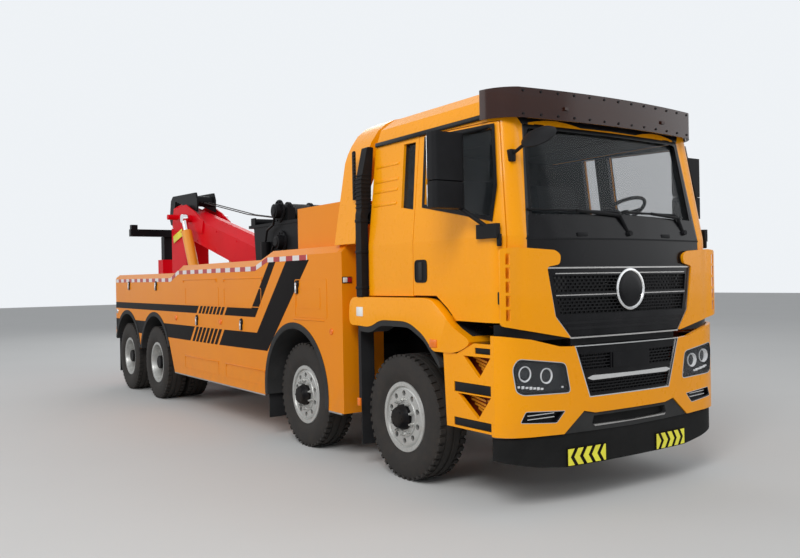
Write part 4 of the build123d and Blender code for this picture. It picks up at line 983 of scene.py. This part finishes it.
# the band across the screen top: partly the black border on the glass, partly painted shade under the visor
bowed(bm, [mirrored([(0, 2862), (1060, 2850), (1100, 2900), (0, 2912)])], railBow, 20, -10)
for side in (1, -1):
    brick(bm, at(side * 1112, -330, 2912), (26, 1500, 40), soft=8)
piece("dripRailAndVisorShade", bm, "gloss", "cab")
visorBow = bow([(0, -1402), (250, -1397.5), (500, -1383.5), (750, -1358), (983, -1325), (1098, -1225), (1150, -1075)])
bm = bmesh.new()
for row in (2910, 3080):
    for k in range(7):
        for side in (1, -1) if k else (1,):
            x = side * k * 158
            rod(bm, at(x, visorBow(x, row) + 3, row), at(x, visorBow(x, row) - 7, row), 11, 12, 8)
piece("visorBolts", bm, "plastic", "cab")
bm = bmesh.new()
ribs = {"heights": (2364, 2484, 2575, 2709), "front": 34, "rear": 400}
for side, word in sides:
    for z in ribs["heights"]:
        half = 1195 - (z - 2010) * cabSpace["sideLean"]
        middle, length = (ribs["front"] + ribs["rear"]) / 2, ribs["rear"] - ribs["front"]
        brick(bm, at(side * (half + 1), middle, z), (12, length, 24), soft=5)
piece("cabRibs", bm, "cab", "cab")
bm = bmesh.new()
column, facing = at(600, -900, 2270), Vector((0, 0.5, 0.86)).normalized()
turn = facingTurn(facing)
angles = [2 * pi * j / 10 for j in range(10)]
ring = [column + turn @ Vector((0.215 + 0.016 * cos(a), 0, 0.016 * sin(a))) for a in angles]
spun(bm, ring, column, facing, 48)
rod(bm, column - facing * 0.16, column - facing * 0.02, 34, 20, 62)
for angle in (0.3, 2.85, 4.71):
    rod(bm, column - facing * 0.03, column + turn @ Vector((0.21 * cos(angle), 0.21 * sin(angle), 0)), 13, 10)
piece("steeringWheel", bm, "trim", "cab")
bm = bmesh.new()
brick(bm, at(0, -380, 2876), (2040, 1500, 14), soft=5)
for x in (-420, 420):
    brick(bm, at(x, -380, 2868), (30, 1400, 12), soft=4)
piece("headliner", bm, "trim", "cab")
print("cab front made")

# Doors: handle pockets, hinges and window edging
for side, word in sides:
    body, bm, bar = f"{word}_door", bmesh.new(), bmesh.new()
    pocket = softened(box2(-440, -270, 1679, 1865), 40)
    sideSheet(bm, side, [pocket], 1190, 1197)
    sideSheet(bm, side, [pocket, drawnIn(pocket, 9)], 1190, 1201)
    brick(bar, at(side * 1200, -355, 1772), (14, 44, 150), soft=6)
    window = [(-345, 2850), (-372, 2313), (-1215, 2150), (-1240, 2380), (-1172, 2820)]

    def onDoor(co, side=side):
        z = co.z * 1000
        return Vector((co.x - side * max(0, z - 2010) * cabSpace["sideLean"] / 1000, co.y, co.z))
    edge = drawnIn(window, -26)
    filled(bm, [[at(side * 1194, s, z) for s, z in edge], [at(side * 1194, s, z) for s, z in drawnIn(window, 4)]],
           (side * 5 / 1000, 0, 0), place=onDoor)
    for z in (1560, 1980):
        brick(bm, at(side * 1190, -1318, z), (24, 36, 90), soft=6)
    piece(f"doorTrim_{word}", bm, "plastic", body)
    piece(f"doorHandle_{word}", bar, "lip", body)
    bm = bmesh.new()
    for low, high in ((2243, 2402), (2446, 2762)):
        brick(bm, at(side * 1405, -916, (low + high) / 2), (250, 6, high - low), soft=2)
    piece(f"mirrorGlass_{word}", bm, "mirror", body)

# Front mirror: arm and dish
bm = bmesh.new()
root, dish = at(-1035, -1283, 2600), at(-985, -1530, 2700)
facing = Vector((-0.607, -0.157, 0.774)).normalized()
pipe(bm, [root, at(-1020, -1400, 2660), dish], 13)
brick(bm, at(-1035, -1283, 2600), (46, 70, 90), soft=8)
turn = facingTurn(facing)
profile = [(0, 0.128), (0.010, 0.132), (0.026, 0.112), (0.036, 0.06), (0.040, 0)]
spun(bm, [dish + turn @ Vector((r, 0, u)) for u, r in profile] + [dish], dish, facing, 40)
piece("frontMirror", bm, "plastic", "cab", ["front_mirror"])
print("doors and mirrors made")

# Recovery gear: windings, winch drives, ropes, labels and bolts
gear = {"drums": ((3750, 2210, 110), (3800, 2610, 95)), "ropeRadius": 8, "width": 330}
bm = bmesh.new()
for station, z, radius in gear["drums"]:
    size = gear["ropeRadius"]
    for k in range(-19, 20):
        x = k * 17
        centre = at(x, station, z)
        ring = [at(x + size * cos(a), station, z + radius + size * sin(a)) for a in (pi * j / 3 for j in range(6))]
        spun(bm, ring, centre, (1, 0, 0), 28)
piece("ropeWindings", bm, "rope")
bm = bmesh.new()
for side in (1, -1):
    for station, z, radius in gear["drums"]:
        for u0, u1, r0, r1 in ((438, 452, 150, 146), (452, 520, 96, 90), (520, 534, 70, 50)):
            rod(bm, at(side * u0, station, z), at(side * u1, station, z), r0, 32, r1)
        for k in range(10):
            a = 2 * pi * k / 10
            spot = (station + 122 * cos(a), z + 122 * sin(a))
            rod(bm, at(side * 450, *spot), at(side * 462, *spot), 13, 6, 12)
    rod(bm, at(side * 480, 4150, 1980), at(side * 480, 4150, 2230), 62, 24)
    for hose in ([(480, 4150, 2230), (486, 4080, 2380), (500, 3860, 2440), (520, 3780, 2560)],
                 [(520, 4060, 1990), (520, 3900, 2060), (540, 3780, 2160)]):
        pipe(bm, [at(side * x, station, z) for x, station, z in hose], 15)
piece("winchDrives", bm, "black")

pitch = radians(13.7)


def onBoom(distance, height, x=0):
    return at(x, 4900 + distance * cos(pitch) - height * sin(pitch), 1960 + distance * sin(pitch) + height * cos(pitch))


def ropeRun(bm, start, end, radius, pieces):
    for k in range(pieces):
        rod(bm, start.lerp(end, k / pieces), start.lerp(end, (k + 1) / pieces), radius, 8)


join = onBoom(900, 560)
bm = bmesh.new()
for x in (-60, 60):
    ropeRun(bm, at(x, 4700, 2600), Vector((x / 1000, join.y, join.z)), 8, 14)
piece("ropeFront", bm, "rope", ("chassis", "boom", tuple(at(0, 4760, 2600)), tuple(join)))
bm = bmesh.new()
for x in (-60, 60):
    ropeRun(bm, Vector((x / 1000, join.y, join.z)), onBoom(3860, 390, x), 8, 40)
piece("ropeRear", bm, "rope", ("boom", "boom_slide", tuple(onBoom(1000, 500)), tuple(onBoom(3700, 400))))

bm = bmesh.new()
for side in (1, -1):
    brick(bm, at(side * 217, 8330, 2535), (6, 470, 130), Matrix.Rotation(-pitch, 4, "X"), soft=2)
piece("mastLabels", bm, "yellow", "boom")
bm = bmesh.new()
for side in (1, -1):
    for distance in (900, 1700, 2500, 3300):
        for height in (-150, 150):
            a, b = onBoom(distance, height, side * 213), onBoom(distance, height, side * 226)
            rod(bm, a, b, 14, 6, 12)
piece("boomBolts", bm, "red", "boom")
print("recovery gear made")


# Studio: a pale floor, a world that reads white to the camera and in reflections, and plain soft light
# Each light has its strength, its size, where it stands and where it looks, in metres
areaLights = {"keyLight": (1250, 6, (-10, -12, 11), (0, -1, 1.2)), "fillLight": (260, 9, (10, -12, 6), (0, -2, 1.5)),
              "sideLight": (420, 9, (-13, 4, 7), (0, 2, 1.2)), "backLight": (420, 8, (8, 14, 9), (0, 3, 1.5))}


def studio():
    g = Graph("studioWorld", world=True)
    rays = [g.node("ShaderNodeLightPath", output=f"Is {kind} Ray") for kind in ("Camera", "Glossy", "Transmission")]
    seen = rays[0].math("MAXIMUM", rays[1]).math("MAXIMUM", rays[2])
    dim = g.node("ShaderNodeBackground", inputs={0: (0.93, 0.96, 1, 1), 1: 0.45})
    pale = g.node("ShaderNodeBackground", inputs={0: (0.86, 0.89, 0.92, 1), 1: 1.0})
    scene.world = g.close("ShaderNodeOutputWorld", g.node("ShaderNodeMixShader", inputs={0: seen, 1: dim, 2: pale}))

    floor = newMesh("studioFloor")
    bm = bmesh.new()
    bmesh.ops.create_grid(bm, x_segments=1, y_segments=1, size=60)
    bm.to_mesh(floor.data)
    bm.free()
    g = Graph("studioFloor")
    base = g.blend(g.noise(0.4, 4), (0.60, 0.60, 0.59), (0.64, 0.64, 0.63))
    floor.data.materials.append(g.finish(base, roughness=0.9))

    for name, (power, size, place, target) in areaLights.items():
        data = bpy.data.lights.new(name, "AREA")
        data.energy, data.size = power, size
        lamp = bpy.data.objects.new(name, data)
        lamp.matrix_world = Matrix.Translation(place) @ facingTurn(Vector(target) - Vector(place), "-Z")
        scene.collection.objects.link(lamp)


studio()
print("studio set")
